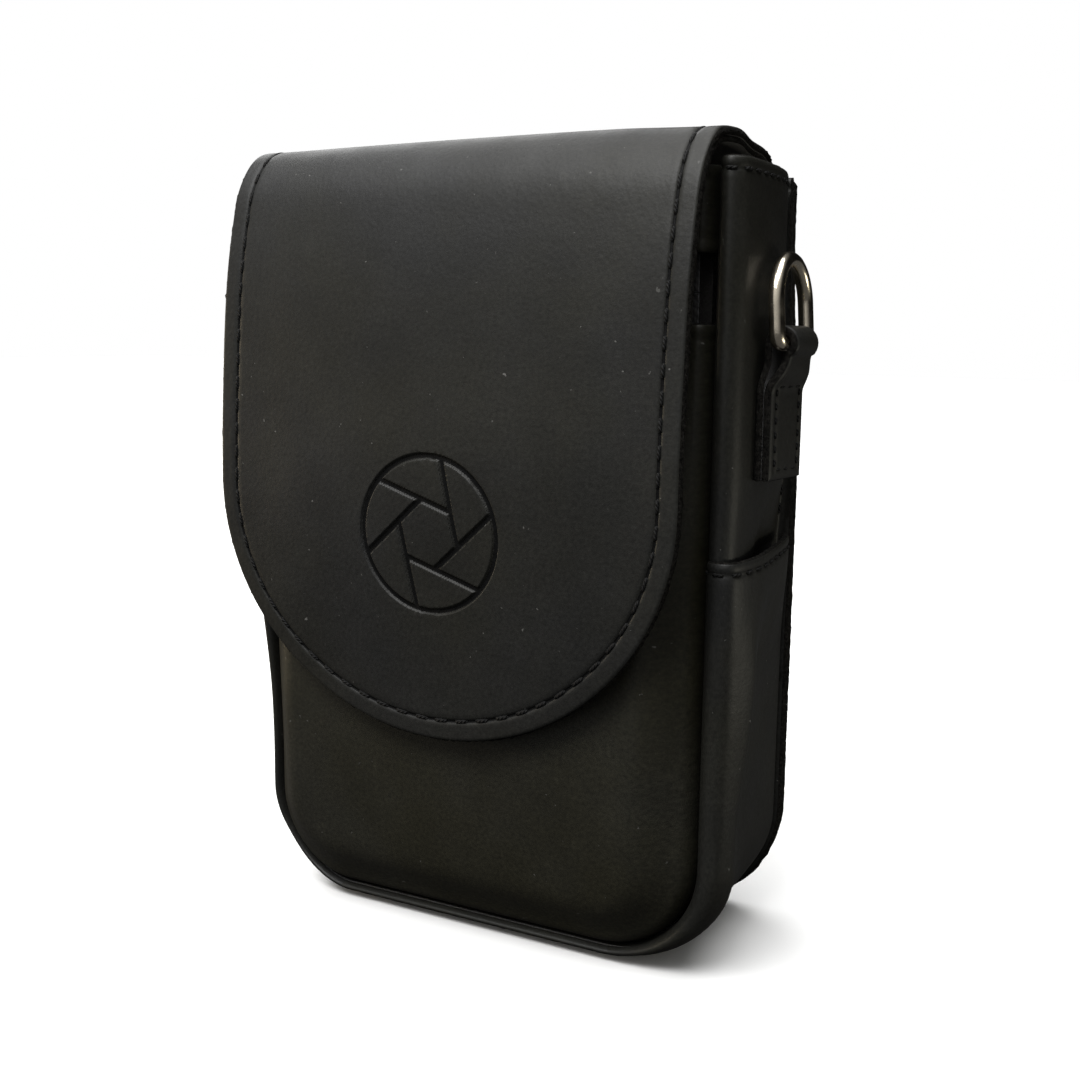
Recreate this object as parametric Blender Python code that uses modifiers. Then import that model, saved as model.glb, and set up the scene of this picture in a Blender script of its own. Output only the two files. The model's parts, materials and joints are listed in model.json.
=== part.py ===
"""A leather flap case for a small camera, made of separate named pieces.

It stands on its base with +Z up and its front towards -Y. The origin is the middle of the flat
base. Run it with: blender --background --python part.py
"""

import math

import bmesh
import bpy
from mathutils import Matrix, Vector

MM = 0.001
GAP = 0.3 * MM                      # clearance between sewn or touching pieces

# Leather thicknesses
BODY_LEATHER = 1.8 * MM
FLAP_LEATHER = 1.7 * MM
LINING = 1.1 * MM

# The body: a front seam line and a wider rear panel, joined by the gusset
FRONT_Y = -21.0 * MM                # plane of the turned front seam
REAR_Y = 21.0 * MM                  # rear face of the back panel
FRONT_HALF = 52.4 * MM              # half width of the front seam line
FRONT_RADIUS = 20.6 * MM            # its bottom corners
BACK_HALF = 54.6 * MM               # half width of the back panel
BACK_RADIUS = 25.8 * MM
FLANGE = 3.3 * MM                   # the gusset's out-turned rear edge, sewn to the back panel
SEAM_HEIGHT = 3.3 * MM              # height of the front seam above the base
CASE_TOP = 159.2 * MM               # top of the gusset
FLANGE_Y = REAR_Y - BODY_LEATHER - GAP - BODY_LEATHER - GAP     # face of the gusset's flange

# The front: upper strip, zip and puffed lower panel
STRIP_HEIGHTS = (158.0, 152.0, 146.0, 142.2)    # rows of the strip above the zip
PANEL_HEIGHTS = (129.0, 118.0, 104.0, 90.0, 76.0, 62.0, 48.0, 34.0, 24.0, 16.0, 10.5, 7.0, 5.0,
                 4.1, 3.65)                     # and of the panel below it
PANEL_INSETS = (0.0, 0.25, 1.0, 2.4, 6.0, 12.0, 21.0, 34.0)     # their columns, from each side
FACE_Y = -23.6 * MM                 # front face of the strip and of the panel's top edge
SEAM_Y = -18.6 * MM                 # how far back the turned seam reaches
WALL_Y = -17.9 * MM                 # front face of the inner wall
WALL_THICK = 1.4 * MM
ZIP_Z = 134.95 * MM                 # centre line of the zip
ZIP_HALF = 46.0 * MM                # half length of its coil
TAPE_HALF = 49.2 * MM
TAPE_HEIGHT = 11.0 * MM             # one side's tape
TAPE_THICK = 0.6 * MM
COIL_HEIGHT = 2.1 * MM
COIL_THICK = 1.4 * MM
SLIDER_X = -40.0 * MM               # the slider at the closed end
SLIDER_LENGTH = 9.0 * MM
SLIDER_HEIGHT = 8.2 * MM
SLIDER_FRONT = FACE_Y - 1.7 * MM
PULL_Y = SLIDER_FRONT - 1.2 * MM    # middle plane of the pull
PULL_THICK = 1.4 * MM
PULL_HEAD, PULL_NECK, PULL_TIP = 3.0 * MM, 1.7 * MM, 2.6 * MM
PULL_EYE = 1.4 * MM
POST_RADIUS = 1.1 * MM
PULL_LENGTH = 19.0 * MM

# The side pockets, one on each side
POCKET_TOP = 83.8 * MM
POCKET_END = 56.0                   # degrees round the bottom corner where the pocket ends

# The flap: its outer face in the YZ plane, from the back panel's top over to its tip
FLAP_LINE = [(21.0, 149.0), (21.0, 155.5), (19.2, 161.6), (14.0, 165.1), (0.0, 165.7),
             (-14.0, 165.5), (-24.3, 163.9), (-30.4, 157.3), (-33.3, 148.0), (-35.6, 134.5),
             (-37.1, 115.0), (-37.75, 96.0), (-37.2, 70.0), (-35.7, 45.6)]
NECK_HINGE = 1                      # point of FLAP_LINE where the neck leaves the back panel
TOP_HINGE = 3                       # where the neck meets the flap's top
BEND_HINGE = 7                      # where the top bends down to the front
FLAP_HALF = 53.3 * MM
NECK_HALF = 48.0 * MM
TAPER_START_Y = -7.0 * MM           # where the flap starts to narrow towards its neck
TAPER_END_Y = 10.0 * MM
ROUND_START_Z = 95.6 * MM           # where the flap's straight sides end
TIP_Z = 45.6 * MM
FLAP_GAP = 1.0 * MM                 # slit between the segments of the flap
LINING_INSET = 0.3 * MM             # the flap's lining stops this far inside its edge
LAYER_GAP = 0.2 * MM                # between the flap's outer leather and its lining
MAGNET_Z = 63.0 * MM
MAGNET_RADIUS = 7.0 * MM
FLAP_MAGNET_Y = -33.75 * MM
PANEL_MAGNET_DEPTH = 2.3 * MM       # from the inside of the panel to the magnet's middle

# The strap rings and their tabs, one on each side
RING_Y = -6.2 * MM                  # middle of the tab along the side
BAR_X = 62.5 * MM                   # the ring's straight bar
BAR_Z = 125.8 * MM
WIRE = 3.0 * MM
RING_WIDTH = 16.4 * MM              # between the centres of the ring's legs
RING_LEG = 7.6 * MM
RING_CORNER = 1.9 * MM
RING_LEAN = 4.0                     # degrees towards the side of the case
TAB_WIDTH = 12.6 * MM
TAB_LEATHER = 1.6 * MM
TAB_BOTTOM = 99.9 * MM
TAB_NECK = 119.7 * MM               # where the two layers of the tab part round the ring

# Gusset sections: (y, distance outside the seam line) from the front seam to the rear flange
SIDE_UPPER = [(-18.6, 0.3), (-21.6, 0.6), (-23.5, 2.0), (-23.4, 4.0), (-20.6, 5.8),
              (-14.5, 6.5), (-7.0, 6.5), (0.0, 6.3), (6.0, 5.6), (11.0, 4.3), (14.2, 2.8),
              (15.9, 2.1), (16.7, 2.5), (16.8, 3.3)]
SIDE_LOWER = [(-18.6, 0.3), (-21.6, 0.6), (-23.5, 2.0), (-23.2, 3.9), (-20.4, 5.3),
              (-14.5, 5.2), (-8.0, 3.9), (-1.5, 2.0), (4.5, 1.6), (10.0, 1.3), (14.0, 1.0),
              (15.9, 0.9), (16.7, 1.8), (16.8, 3.3)]
SIDE_BASE = [(-18.6, 0.3), (-21.6, 0.6), (-23.5, 2.0), (-23.2, 3.9), (-20.8, 4.9),
             (-15.5, 3.9), (-9.0, 2.4), (-2.0, 1.6), (4.5, 1.4), (10.0, 1.2), (14.0, 1.0),
             (15.9, 0.9), (16.7, 1.8), (16.8, 3.3)]
BOTTOM_SECTION = [(-18.6, 0.3), (-21.4, 0.5), (-23.2, 1.4), (-22.6, 2.8), (-20.0, 3.3),
                  (-14.5, 3.3), (-8.0, 3.3), (-1.5, 3.3), (4.0, 3.3), (9.0, 2.4), (13.0, 1.6),
                  (15.9, 1.2), (16.7, 2.0), (16.8, 3.3)]

# Side pocket sections, laid over the gusset's: at its mouth, its middle, its foot and the corner
POCKET_MOUTH = [(-21.4, 7.3), (-17.0, 8.0), (-11.5, 8.2), (-5.0, 7.6), (1.5, 6.8), (8.0, 5.9),
                (12.6, 4.9), (14.6, 4.0)]
POCKET_MIDDLE = [(-21.3, 7.2), (-17.5, 7.8), (-13.0, 7.2), (-7.0, 5.8), (0.0, 4.5), (6.5, 4.0),
                 (12.0, 3.6), (14.4, 3.3)]
POCKET_BASE = [(-21.4, 7.2), (-18.6, 7.1), (-14.5, 6.2), (-8.5, 4.9), (-1.5, 4.0), (5.5, 3.7),
               (11.5, 3.4), (14.4, 3.2)]
POCKET_FLOOR = [(-20.8, 5.5), (-17.5, 5.5), (-13.5, 5.5), (-8.0, 5.5), (-1.5, 5.5), (5.0, 5.3),
                (11.0, 4.2), (14.4, 3.5)]
SINK = (80.0 * MM, 104.0 * MM)      # the gusset's side sinks in between these heights
HOLLOW = (28.0 * MM, 62.0 * MM)     # and is at its most hollow below these
MOUTH = (60.0 * MM, 82.0 * MM)      # the pockets open out towards their mouths between these

# How far the front panel stands out from its seam's depth: (z, depth)
BELLY = [(3.0, 5.4), (10.0, 8.6), (18.0, 11.0), (30.0, 12.8), (45.0, 13.3), (60.0, 12.9),
         (78.0, 10.8), (96.0, 8.0), (113.0, 5.9), (129.0, 5.0), (160.0, 5.0)]
EDGE_DEPTH = 5.0 * MM               # depth of the roll beside the seam
EDGE_ROLL = 2.4 * MM                # its width
BELLY_RISE = 19.0 * MM              # width of the rise from the roll to the full belly

COLLECTION = "leather_case"
CUTTERS = "cutters"


# ---------------------------------------------------------------- scene and materials

def clear_scene():
    for item in list(bpy.data.objects):
        bpy.data.objects.remove(item)
    for name in (COLLECTION, CUTTERS):
        collection = bpy.data.collections.new(name)
        bpy.context.scene.collection.children.link(collection)


def make_material(name, colour, roughness, metallic=0.0):
    material = bpy.data.materials.new(name)
    material.use_nodes = True
    shader = material.node_tree.nodes["Principled BSDF"]
    shader.inputs["Base Color"].default_value = (*colour, 1.0)
    shader.inputs["Roughness"].default_value = roughness
    shader.inputs["Metallic"].default_value = metallic
    material.diffuse_color = (*colour, 1.0)
    return material


def make_materials():
    return {
        "leather": make_material("black_leather", (0.022, 0.022, 0.020), 0.55),
        "lining": make_material("lining_leather", (0.030, 0.029, 0.027), 0.85),
        "tape": make_material("zip_tape", (0.016, 0.016, 0.016), 0.9),
        "coil": make_material("zip_coil", (0.020, 0.020, 0.021), 0.4),
        "nickel": make_material("nickel", (0.72, 0.68, 0.60), 0.22, 1.0),
        "magnet": make_material("magnet_plate", (0.60, 0.60, 0.60), 0.35, 1.0),
    }


def add_object(name, data, material, collection=COLLECTION):
    item = bpy.data.objects.new(name, data)
    bpy.data.collections[collection].objects.link(item)
    data.materials.append(material)
    return item


# ---------------------------------------------------------------- shared shape tools

def smooth_step(value, low, high):
    t = min(max((value - low) / (high - low), 0.0), 1.0)
    return t * t * (3.0 - 2.0 * t)


def table_value(table, z):
    """Smooth value of a (z, value) table in millimetres, both in metres here."""
    previous = table[0]
    for point in table[1:]:
        if z <= point[0] * MM:
            share = smooth_step(z, previous[0] * MM, point[0] * MM)
            return (previous[1] + (point[1] - previous[1]) * share) * MM
        previous = point
    return table[-1][1] * MM


def spline_points(points, steps):
    """Catmull-Rom curve through 2D points in millimetres: steps short chords for each span."""
    padded = [points[0]] + list(points) + [points[-1]]
    result = []
    for i in range(1, len(padded) - 2):
        a, b, c, d = (Vector(p) for p in padded[i - 1:i + 3])
        for step in range(steps):
            t = step / steps
            result.append(0.5 * (2 * b + (c - a) * t + (2 * a - 5 * b + 4 * c - d) * t ** 2
                                 + (3 * b - a - 3 * c + d) * t ** 3))
    result.append(Vector(points[-1]))
    return [p * MM for p in result]


def leather_sheet(name, rows, thickness, facing, material):
    """A sheet from a grid of points on its outer face, thickened inwards by Solidify."""
    mesh = bpy.data.meshes.new(name)
    bm = bmesh.new()
    grid = [[bm.verts.new(point) for point in row] for row in rows]
    for upper, lower in zip(grid, grid[1:]):
        for i in range(len(upper) - 1):
            bm.faces.new((upper[i], upper[i + 1], lower[i + 1], lower[i]))
    bm.normal_update()
    middle = grid[len(grid) // 2][len(grid[0]) // 2]
    if middle.normal.dot(Vector(facing)) < 0:
        bmesh.ops.reverse_faces(bm, faces=bm.faces)
    bm.to_mesh(mesh)
    bm.free()
    mesh.shade_smooth()
    item = add_object(name, mesh, material)
    shell = item.modifiers.new("thickness", "SOLIDIFY")
    shell.thickness = thickness
    shell.offset = -1.0
    shell.use_quality_normals = True
    return item


def plate(name, outlines, thickness, matrix, material, bevel=0.0):
    """A flat plate from closed 2D outlines, the first outside and the others holes."""
    curve = bpy.data.curves.new(name, "CURVE")
    curve.dimensions = "2D"
    curve.fill_mode = "BOTH"
    curve.extrude = thickness / 2 - bevel
    curve.bevel_depth = bevel
    curve.bevel_resolution = 1 if bevel else 0
    curve.offset = -bevel
    for outline in outlines:
        spline = curve.splines.new("POLY")
        spline.points.add(len(outline) - 1)
        for point, place in zip(spline.points, outline):
            point.co = (place[0], place[1], 0.0, 1.0)
        spline.use_cyclic_u = True
    item = add_object(name, curve, material)
    item.matrix_world = matrix
    return item


def box(name, low, high, material, bevel=0.0):
    mesh = bpy.data.meshes.new(name)
    bm = bmesh.new()
    low, high = Vector(low), Vector(high)
    bmesh.ops.create_cube(bm, size=1.0)
    bmesh.ops.scale(bm, vec=high - low, verts=bm.verts)
    bmesh.ops.translate(bm, vec=(low + high) / 2, verts=bm.verts)
    bm.to_mesh(mesh)
    bm.free()
    item = add_object(name, mesh, material)
    if bevel:
        edge = item.modifiers.new("edges", "BEVEL")
        edge.width = bevel
        edge.segments = 2
    return item


def disc(name, centre, radius, thickness, material, bevel=0.2 * MM):
    """A round disc whose axis lies along Y."""
    mesh = bpy.data.meshes.new(name)
    bm = bmesh.new()
    bmesh.ops.create_cone(bm, cap_ends=True, segments=32, radius1=radius, radius2=radius,
                          depth=thickness)
    bmesh.ops.rotate(bm, matrix=Matrix.Rotation(math.pi / 2, 3, "X"), verts=bm.verts)
    bmesh.ops.translate(bm, vec=centre, verts=bm.verts)
    bm.to_mesh(mesh)
    bm.free()
    item = add_object(name, mesh, material)
    edge = item.modifiers.new("edges", "BEVEL")
    edge.width = bevel
    edge.segments = 1
    edge.limit_method = "ANGLE"
    return item


def as_mesh(item):
    """The curve object as a mesh object with welded caps."""
    bpy.context.view_layer.update()
    evaluated = item.evaluated_get(bpy.context.evaluated_depsgraph_get())
    mesh = bpy.data.meshes.new_from_object(evaluated)
    bm = bmesh.new()
    bm.from_mesh(mesh)
    bmesh.ops.remove_doubles(bm, verts=bm.verts, dist=0.00001)
    bm.to_mesh(mesh)
    bm.free()
    name, matrix = item.name, item.matrix_world.copy()
    bpy.data.objects.remove(item)
    result = bpy.data.objects.new(name, mesh)
    bpy.data.collections[COLLECTION].objects.link(result)
    result.matrix_world = matrix
    return result


def combine(item, tool, operation):
    """Joins or cuts item with tool, which moves to the cutters."""
    bpy.data.collections[COLLECTION].objects.unlink(tool)
    bpy.data.collections[CUTTERS].objects.link(tool)
    tool.hide_render = True
    tool.display_type = "WIRE"
    boolean = item.modifiers.new(tool.name, "BOOLEAN")
    boolean.operation = operation
    boolean.object = tool


def arc(centre, radius, start, end, steps):
    """Points on a circular arc, angles in degrees, both ends included."""
    angles = [math.radians(start + (end - start) * i / steps) for i in range(steps + 1)]
    return [(centre[0] + radius * math.cos(a), centre[1] + radius * math.sin(a)) for a in angles]


def upright_matrix(y):
    """Places an XY outline in the XZ plane at depth y."""
    return Matrix.Translation((0, y, 0)) @ Matrix.Rotation(math.pi / 2, 4, "X")


# ---------------------------------------------------------------- back panel and lining

def back_panel(material):
    """One sheet with rounded bottom corners, two ears at the top and the neck between them."""
    ear = NECK_HALF + 0.7 * MM
    neck_z = FLAP_LINE[NECK_HINGE][1] * MM - FLAP_GAP / 2
    corner_x = BACK_HALF - BACK_RADIUS
    right = arc((corner_x, BACK_RADIUS), BACK_RADIUS, -90, 0, 10)
    right += arc((BACK_HALF - 2 * MM, CASE_TOP - 2 * MM), 2 * MM, 0, 90, 3)
    right += [(ear, CASE_TOP), (ear, neck_z)]
    left = [(-x, z) for x, z in reversed(right)]
    thick = BODY_LEATHER
    plate("back_panel", [right + left], thick, upright_matrix(REAR_Y - thick / 2), material)


def back_lining(material):
    half = 48.6 * MM
    bottom, top, radius = 5.0 * MM, 152.0 * MM, 21.0 * MM
    right = arc((half - radius, bottom + radius), radius, -90, 0, 8) + [(half, top)]
    left = [(-x, z) for x, z in reversed(right)]
    y = REAR_Y - BODY_LEATHER - GAP - LINING / 2
    plate("back_lining", [right + left], LINING, upright_matrix(y), material)


# ---------------------------------------------------------------- gusset and side pockets

def seam_place(half, radius, bottom, leg, share):
    """Point (x, z) and outward normal on a seam line: leg is side, corner or bottom."""
    if leg == "side":
        return Vector((half, CASE_TOP + (bottom + radius - CASE_TOP) * share)), Vector((1, 0))
    if leg == "corner":
        angle = -math.radians(90 * share)
        normal = Vector((math.cos(angle), math.sin(angle)))
        return Vector((half - radius, bottom + radius)) + normal * radius, normal
    return Vector(((half - radius) * (1 - share), bottom)), Vector((0, -1))


def surface_point(leg, share, y, out):
    """Point of the gusset's surface: out is its distance outside the seam line."""
    front, normal = seam_place(FRONT_HALF, FRONT_RADIUS, SEAM_HEIGHT, leg, share)
    rear, normal = seam_place(BACK_HALF - FLANGE, BACK_RADIUS - FLANGE, FLANGE, leg, share)
    depth = min(max((y - FRONT_Y) / (FLANGE_Y - FRONT_Y), 0.0), 1.0)
    place = front.lerp(rear, depth) + normal * out
    return Vector((place.x, y, place.y))


def section_mix(first, second, share):
    """Points between two sections; share 1 is the second."""
    return [a.lerp(b, share) for a, b in zip(first, second)]


def section_at(leg, share, tables, turn_heights):
    """A section in metres at a station of the right half, from its upper, lower, base and floor
    tables."""
    upper, lower, base, floor = ([Vector(p) * MM for p in table] for table in tables)
    if leg == "bottom":
        return floor
    if leg == "corner":
        return section_mix(base, floor, smooth_step(share, 0.0, 1.0))
    z = CASE_TOP + (SEAM_HEIGHT + FRONT_RADIUS - CASE_TOP) * share
    side = section_mix(base, lower, smooth_step(z, *HOLLOW))
    return section_mix(side, upper, smooth_step(z, *turn_heights))


def right_half_stations():
    """Stations of the right half from the top of the side to the middle of the bottom."""
    stations = [("side", i / 12) for i in range(12)]
    stations += [("corner", i / 7) for i in range(7)]
    stations += [("bottom", i / 2) for i in range(3)]
    return stations


def gusset(material):
    tables = (SIDE_UPPER, SIDE_LOWER, SIDE_BASE, BOTTOM_SECTION)
    rows = []
    for leg, share in right_half_stations():
        section = section_at(leg, share, tables, SINK)
        rows.append([surface_point(leg, share, p.x, p.y) for p in section])
    mirrored = [[Vector((-p.x, p.y, p.z)) for p in row] for row in reversed(rows[:-1])]
    leather_sheet("gusset", rows + mirrored, BODY_LEATHER, (0, 0, -1), material)


def side_pocket(name, side, material):
    """A slip pocket over the lower half of the side; its mouth stands off towards the rear."""
    tables = (POCKET_MOUTH, POCKET_MIDDLE, POCKET_BASE, POCKET_FLOOR)
    start = (CASE_TOP - POCKET_TOP) / (CASE_TOP - SEAM_HEIGHT - FRONT_RADIUS)
    stations = [("side", start + (1 - start) * i / 6) for i in range(6)]
    stations += [("corner", POCKET_END / 90 * i / 5) for i in range(6)]
    rows = []
    for leg, share in stations:
        section = section_at(leg, share, tables, MOUTH)
        row = [surface_point(leg, share, p.x, p.y) for p in section]
        rows.append([Vector((side * p.x, p.y, p.z)) for p in row])
    leather_sheet(name, rows, BODY_LEATHER, (side, 0, 0), material)


# ---------------------------------------------------------------- front

def outline_distance(x, z):
    """Distance inwards from the front seam line, and the line's half width at that height."""
    half, bottom, radius = FRONT_HALF - GAP, SEAM_HEIGHT + GAP, FRONT_RADIUS - GAP
    centre_x, centre_z = half - radius, bottom + radius
    if z < centre_z:
        width = centre_x + math.sqrt(max(radius ** 2 - (centre_z - z) ** 2, 0.0))
    else:
        width = half
    if abs(x) > centre_x and z < centre_z:
        return radius - math.hypot(abs(x) - centre_x, z - centre_z), width
    return min(half - abs(x), z - bottom), width


def front_depth(x, z):
    """How far the front stands out in front of its seam."""
    distance = max(outline_distance(x, z)[0], 0.0)
    near = 1.0 - min(distance / EDGE_ROLL, 1.0)
    roll = EDGE_DEPTH * math.sqrt(max(1.0 - near ** 2, 0.0))
    return roll + (table_value(BELLY, z) - EDGE_DEPTH) * smooth_step(distance, 0.0, BELLY_RISE)


def front_sheet(name, heights, material):
    rows = []
    for height in heights:
        z = height * MM
        width = outline_distance(0.0, z)[1]
        right = [max(width - inset * MM * width / FRONT_HALF, 0.0) for inset in PANEL_INSETS]
        across = [-x for x in right] + [0.0] + list(reversed(right))
        rows.append([Vector((x, SEAM_Y - front_depth(x, z), z)) for x in across])
    return leather_sheet(name, rows, BODY_LEATHER, (0, -1, 0), material)


def front_inner_wall(material):
    half, bottom, top, radius = 50.6 * MM, 5.2 * MM, 157.4 * MM, 19.5 * MM
    right = arc((half - radius, bottom + radius), radius, -90, 0, 8) + [(half, top)]
    left = [(-x, z) for x, z in reversed(right)]
    y = WALL_Y + WALL_THICK / 2
    plate("front_inner_wall", [right + left], WALL_THICK, upright_matrix(y), material)


# ---------------------------------------------------------------- zip

def zip_tapes(material):
    front = FACE_Y + BODY_LEATHER + GAP
    for name, low, high in (("zip_tape_lower", ZIP_Z - TAPE_HEIGHT, ZIP_Z - 0.15 * MM),
                            ("zip_tape_upper", ZIP_Z + 0.15 * MM, ZIP_Z + TAPE_HEIGHT)):
        box(name, (-TAPE_HALF, front, low), (TAPE_HALF, front + TAPE_THICK, high), material)


def zip_coils(material):
    back = FACE_Y + BODY_LEATHER
    for name, low in (("zip_coil_lower", ZIP_Z - 0.15 * MM - COIL_HEIGHT),
                      ("zip_coil_upper", ZIP_Z + 0.15 * MM)):
        box(name, (-ZIP_HALF, back - COIL_THICK, low), (ZIP_HALF, back, low + COIL_HEIGHT),
            material, bevel=0.4 * MM)


def zip_stops(material):
    back = FACE_Y + BODY_LEATHER
    half = 2.4 * MM
    for name, x in (("zip_top_stop", -ZIP_HALF - 1.4 * MM), ("zip_bottom_stop", ZIP_HALF + 1.4 * MM)):
        box(name, (x - 1.1 * MM, back - COIL_THICK, ZIP_Z - half),
            (x + 1.1 * MM, back, ZIP_Z + half), material, bevel=0.3 * MM)


def slider_joint():
    """The pull's pivot: the axis of the post on the slider's face."""
    return Vector((SLIDER_X, PULL_Y, ZIP_Z))


def zip_slider(material):
    """A C-shaped runner over the coil with a headed post for the pull."""
    empty = bpy.data.objects.new("zip_slider_place", None)
    bpy.data.collections[COLLECTION].objects.link(empty)
    empty.location = slider_joint()
    front, face = SLIDER_FRONT, FACE_Y - 0.1 * MM
    back = FACE_Y + BODY_LEATHER - 0.1 * MM
    outer, inner = SLIDER_HEIGHT / 2, SLIDER_HEIGHT / 2 - 1.1 * MM
    right = [(-outer, back), (-outer, front + 0.4 * MM), (-outer + 0.4 * MM, front)]
    outline = right + [(-x, y) for x, y in reversed(right)]
    outline += [(inner, back), (inner, face), (-inner, face), (-inner, back)]
    turn = Matrix(((0, 0, 1, SLIDER_X), (0, 1, 0, 0), (1, 0, 0, ZIP_Z), (0, 0, 0, 1)))
    flip = Matrix.Diagonal((-1, 1, 1, 1))
    body = plate("zip_slider", [outline], SLIDER_LENGTH, turn @ flip, material)
    body = as_mesh(body)
    post = disc("slider_post", (SLIDER_X, front - 1.1 * MM, ZIP_Z), POST_RADIUS, 2.6 * MM, material)
    head = disc("slider_head", (SLIDER_X, front - 2.75 * MM, ZIP_Z), 2.0 * MM, 0.9 * MM, material)
    for tool in (post, head):
        combine(body, tool, "UNION")
    bpy.context.view_layer.update()
    body.parent = empty
    body.matrix_parent_inverse = empty.matrix_world.inverted()


def zip_pull(material):
    """A flat pull that hangs from the slider's post."""
    outline = arc((0, 0), PULL_HEAD, -50, 230, 14)
    outline += [(-PULL_NECK, -5.5 * MM)]
    outline += arc((0, -PULL_LENGTH + PULL_TIP), PULL_TIP, 180, 360, 8)
    outline += [(PULL_NECK, -5.5 * MM)]
    eye = arc((0, 0), PULL_EYE, 0, 345, 23)
    place = Matrix.Translation((SLIDER_X, 0, ZIP_Z)) @ upright_matrix(PULL_Y)
    plate("zip_pull", [outline, eye], PULL_THICK, place, material, bevel=0.15 * MM)


# ---------------------------------------------------------------- flap

def flap_half_width(y):
    """Half width above the round end: full at the front, narrower at the neck."""
    return FLAP_HALF + (NECK_HALF - FLAP_HALF) * smooth_step(y, TAPER_START_Y, TAPER_END_Y)


def line_place(line, index):
    """Point on the flap line, the direction ahead along it and the direction into the leather."""
    ahead = line[min(index + 1, len(line) - 1)] - line[max(index - 1, 0)]
    ahead.normalize()
    return line[index].copy(), ahead, Vector((-ahead.y, ahead.x))


def flap_row(place, half, columns=12):
    return [Vector((half * (2 * c / columns - 1), place.x, place.y)) for c in range(columns + 1)]


def flap_rows(first, last, inset, steps):
    """Rows of points along the flap line between two of its points, inset from its outer face."""
    line = spline_points(FLAP_LINE, steps)
    rows = []
    for i in range(first * steps, last * steps + 1):
        place, ahead, inward = line_place(line, i)
        half = flap_half_width(place.x) - (LINING_INSET if inset else 0.0)
        place += inward * inset
        if i == first * steps:
            place += ahead * FLAP_GAP / 2
        if i == last * steps:
            place -= ahead * FLAP_GAP / 2
        rows.append(flap_row(place, half))
    return rows


def flap_front_rows(inset):
    """Rows of the front piece: the last ones follow its round end at even angles."""
    steps, turns = 4, 11
    line = spline_points(FLAP_LINE, steps)
    rows = flap_rows(BEND_HINGE, len(FLAP_LINE) - 3, inset, steps)
    for turn in range(turns):
        drop = math.sin(math.radians(86.5) * (turn + 1) / turns)
        z = ROUND_START_Z - (ROUND_START_Z - TIP_Z) * drop
        index = max(i for i, p in enumerate(line) if p.y >= z)
        place, ahead, inward = line_place(line, index)
        place += ahead * (place.y - z) + inward * inset
        half = FLAP_HALF * math.sqrt(1 - drop ** 2) - (LINING_INSET if inset else 0.0)
        rows.append(flap_row(place, half))
    return rows


def hinge_empty(name, index):
    """An empty on the hinge at a point of the flap line."""
    empty = bpy.data.objects.new(name, None)
    bpy.data.collections[COLLECTION].objects.link(empty)
    y, z = FLAP_LINE[index]
    empty.location = (0.0, y * MM, z * MM)
    bpy.context.view_layer.update()
    return empty


def hang(item, empty):
    """Parents an item to an empty without moving it."""
    item.parent = empty
    item.matrix_parent_inverse = empty.matrix_world.inverted()


def flap(material, lining_material, magnet_material):
    inset = FLAP_LEATHER + LAYER_GAP
    pieces = (("flap_neck", NECK_HINGE, TOP_HINGE, (0, 1, 1)),
              ("flap_top", TOP_HINGE, BEND_HINGE, (0, 0, 1)))
    for name, first, last, facing in pieces:
        outer = leather_sheet(name + "_outer", flap_rows(first, last, 0.0, 3), FLAP_LEATHER,
                              facing, material)
        lining = leather_sheet(name + "_lining", flap_rows(first, last, inset, 3), LINING,
                               facing, lining_material)
        empty = hinge_empty(name + "_hinge", first)
        hang(outer, empty)
        hang(lining, empty)
    outer = leather_sheet("flap_front_outer", flap_front_rows(0.0), FLAP_LEATHER, (0, -1, 0),
                          material)
    lining = leather_sheet("flap_front_lining", flap_front_rows(inset), LINING, (0, -1, 0),
                           lining_material)
    hole = disc("lining_hole", (0, FLAP_MAGNET_Y, MAGNET_Z), MAGNET_RADIUS + GAP, 8 * MM, material)
    combine(lining, hole, "DIFFERENCE")
    magnet = disc("flap_magnet", (0, FLAP_MAGNET_Y, MAGNET_Z), MAGNET_RADIUS, 1.2 * MM,
                  magnet_material)
    empty = hinge_empty("flap_front_hinge", BEND_HINGE)
    for item in (outer, lining, magnet):
        hang(item, empty)


def panel_magnet(material):
    y = SEAM_Y - table_value(BELLY, MAGNET_Z) + BODY_LEATHER + PANEL_MAGNET_DEPTH
    disc("panel_magnet", (0, y, MAGNET_Z), MAGNET_RADIUS, 1.6 * MM, material)


# ---------------------------------------------------------------- strap rings

def ring_tab(name, side, material):
    """A strip folded round the ring's bar, its two layers sewn together below."""
    outer = WIRE / 2 + GAP + TAB_LEATHER
    inner = WIRE / 2 + GAP
    back = BAR_X - outer
    slab = back + 2 * TAB_LEATHER + 0.1 * MM
    outline = [(back, TAB_BOTTOM), (slab, TAB_BOTTOM), (slab, TAB_NECK)]
    outline += arc((BAR_X, BAR_Z), outer, -30, 180, 14)
    eye = arc((BAR_X, BAR_Z), inner, -28, 180, 12) + [(back + TAB_LEATHER, TAB_NECK + 1.6 * MM)]
    outlines = [[(x - BAR_X, z - BAR_Z) for x, z in points] for points in (outline, eye)]
    place = Matrix.Translation((side * BAR_X, RING_Y, BAR_Z)) @ upright_matrix(0.0)
    if side < 0:
        place = place @ Matrix.Rotation(math.pi, 4, "Y")
    plate(name, outlines, TAB_WIDTH, place, material)


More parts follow.
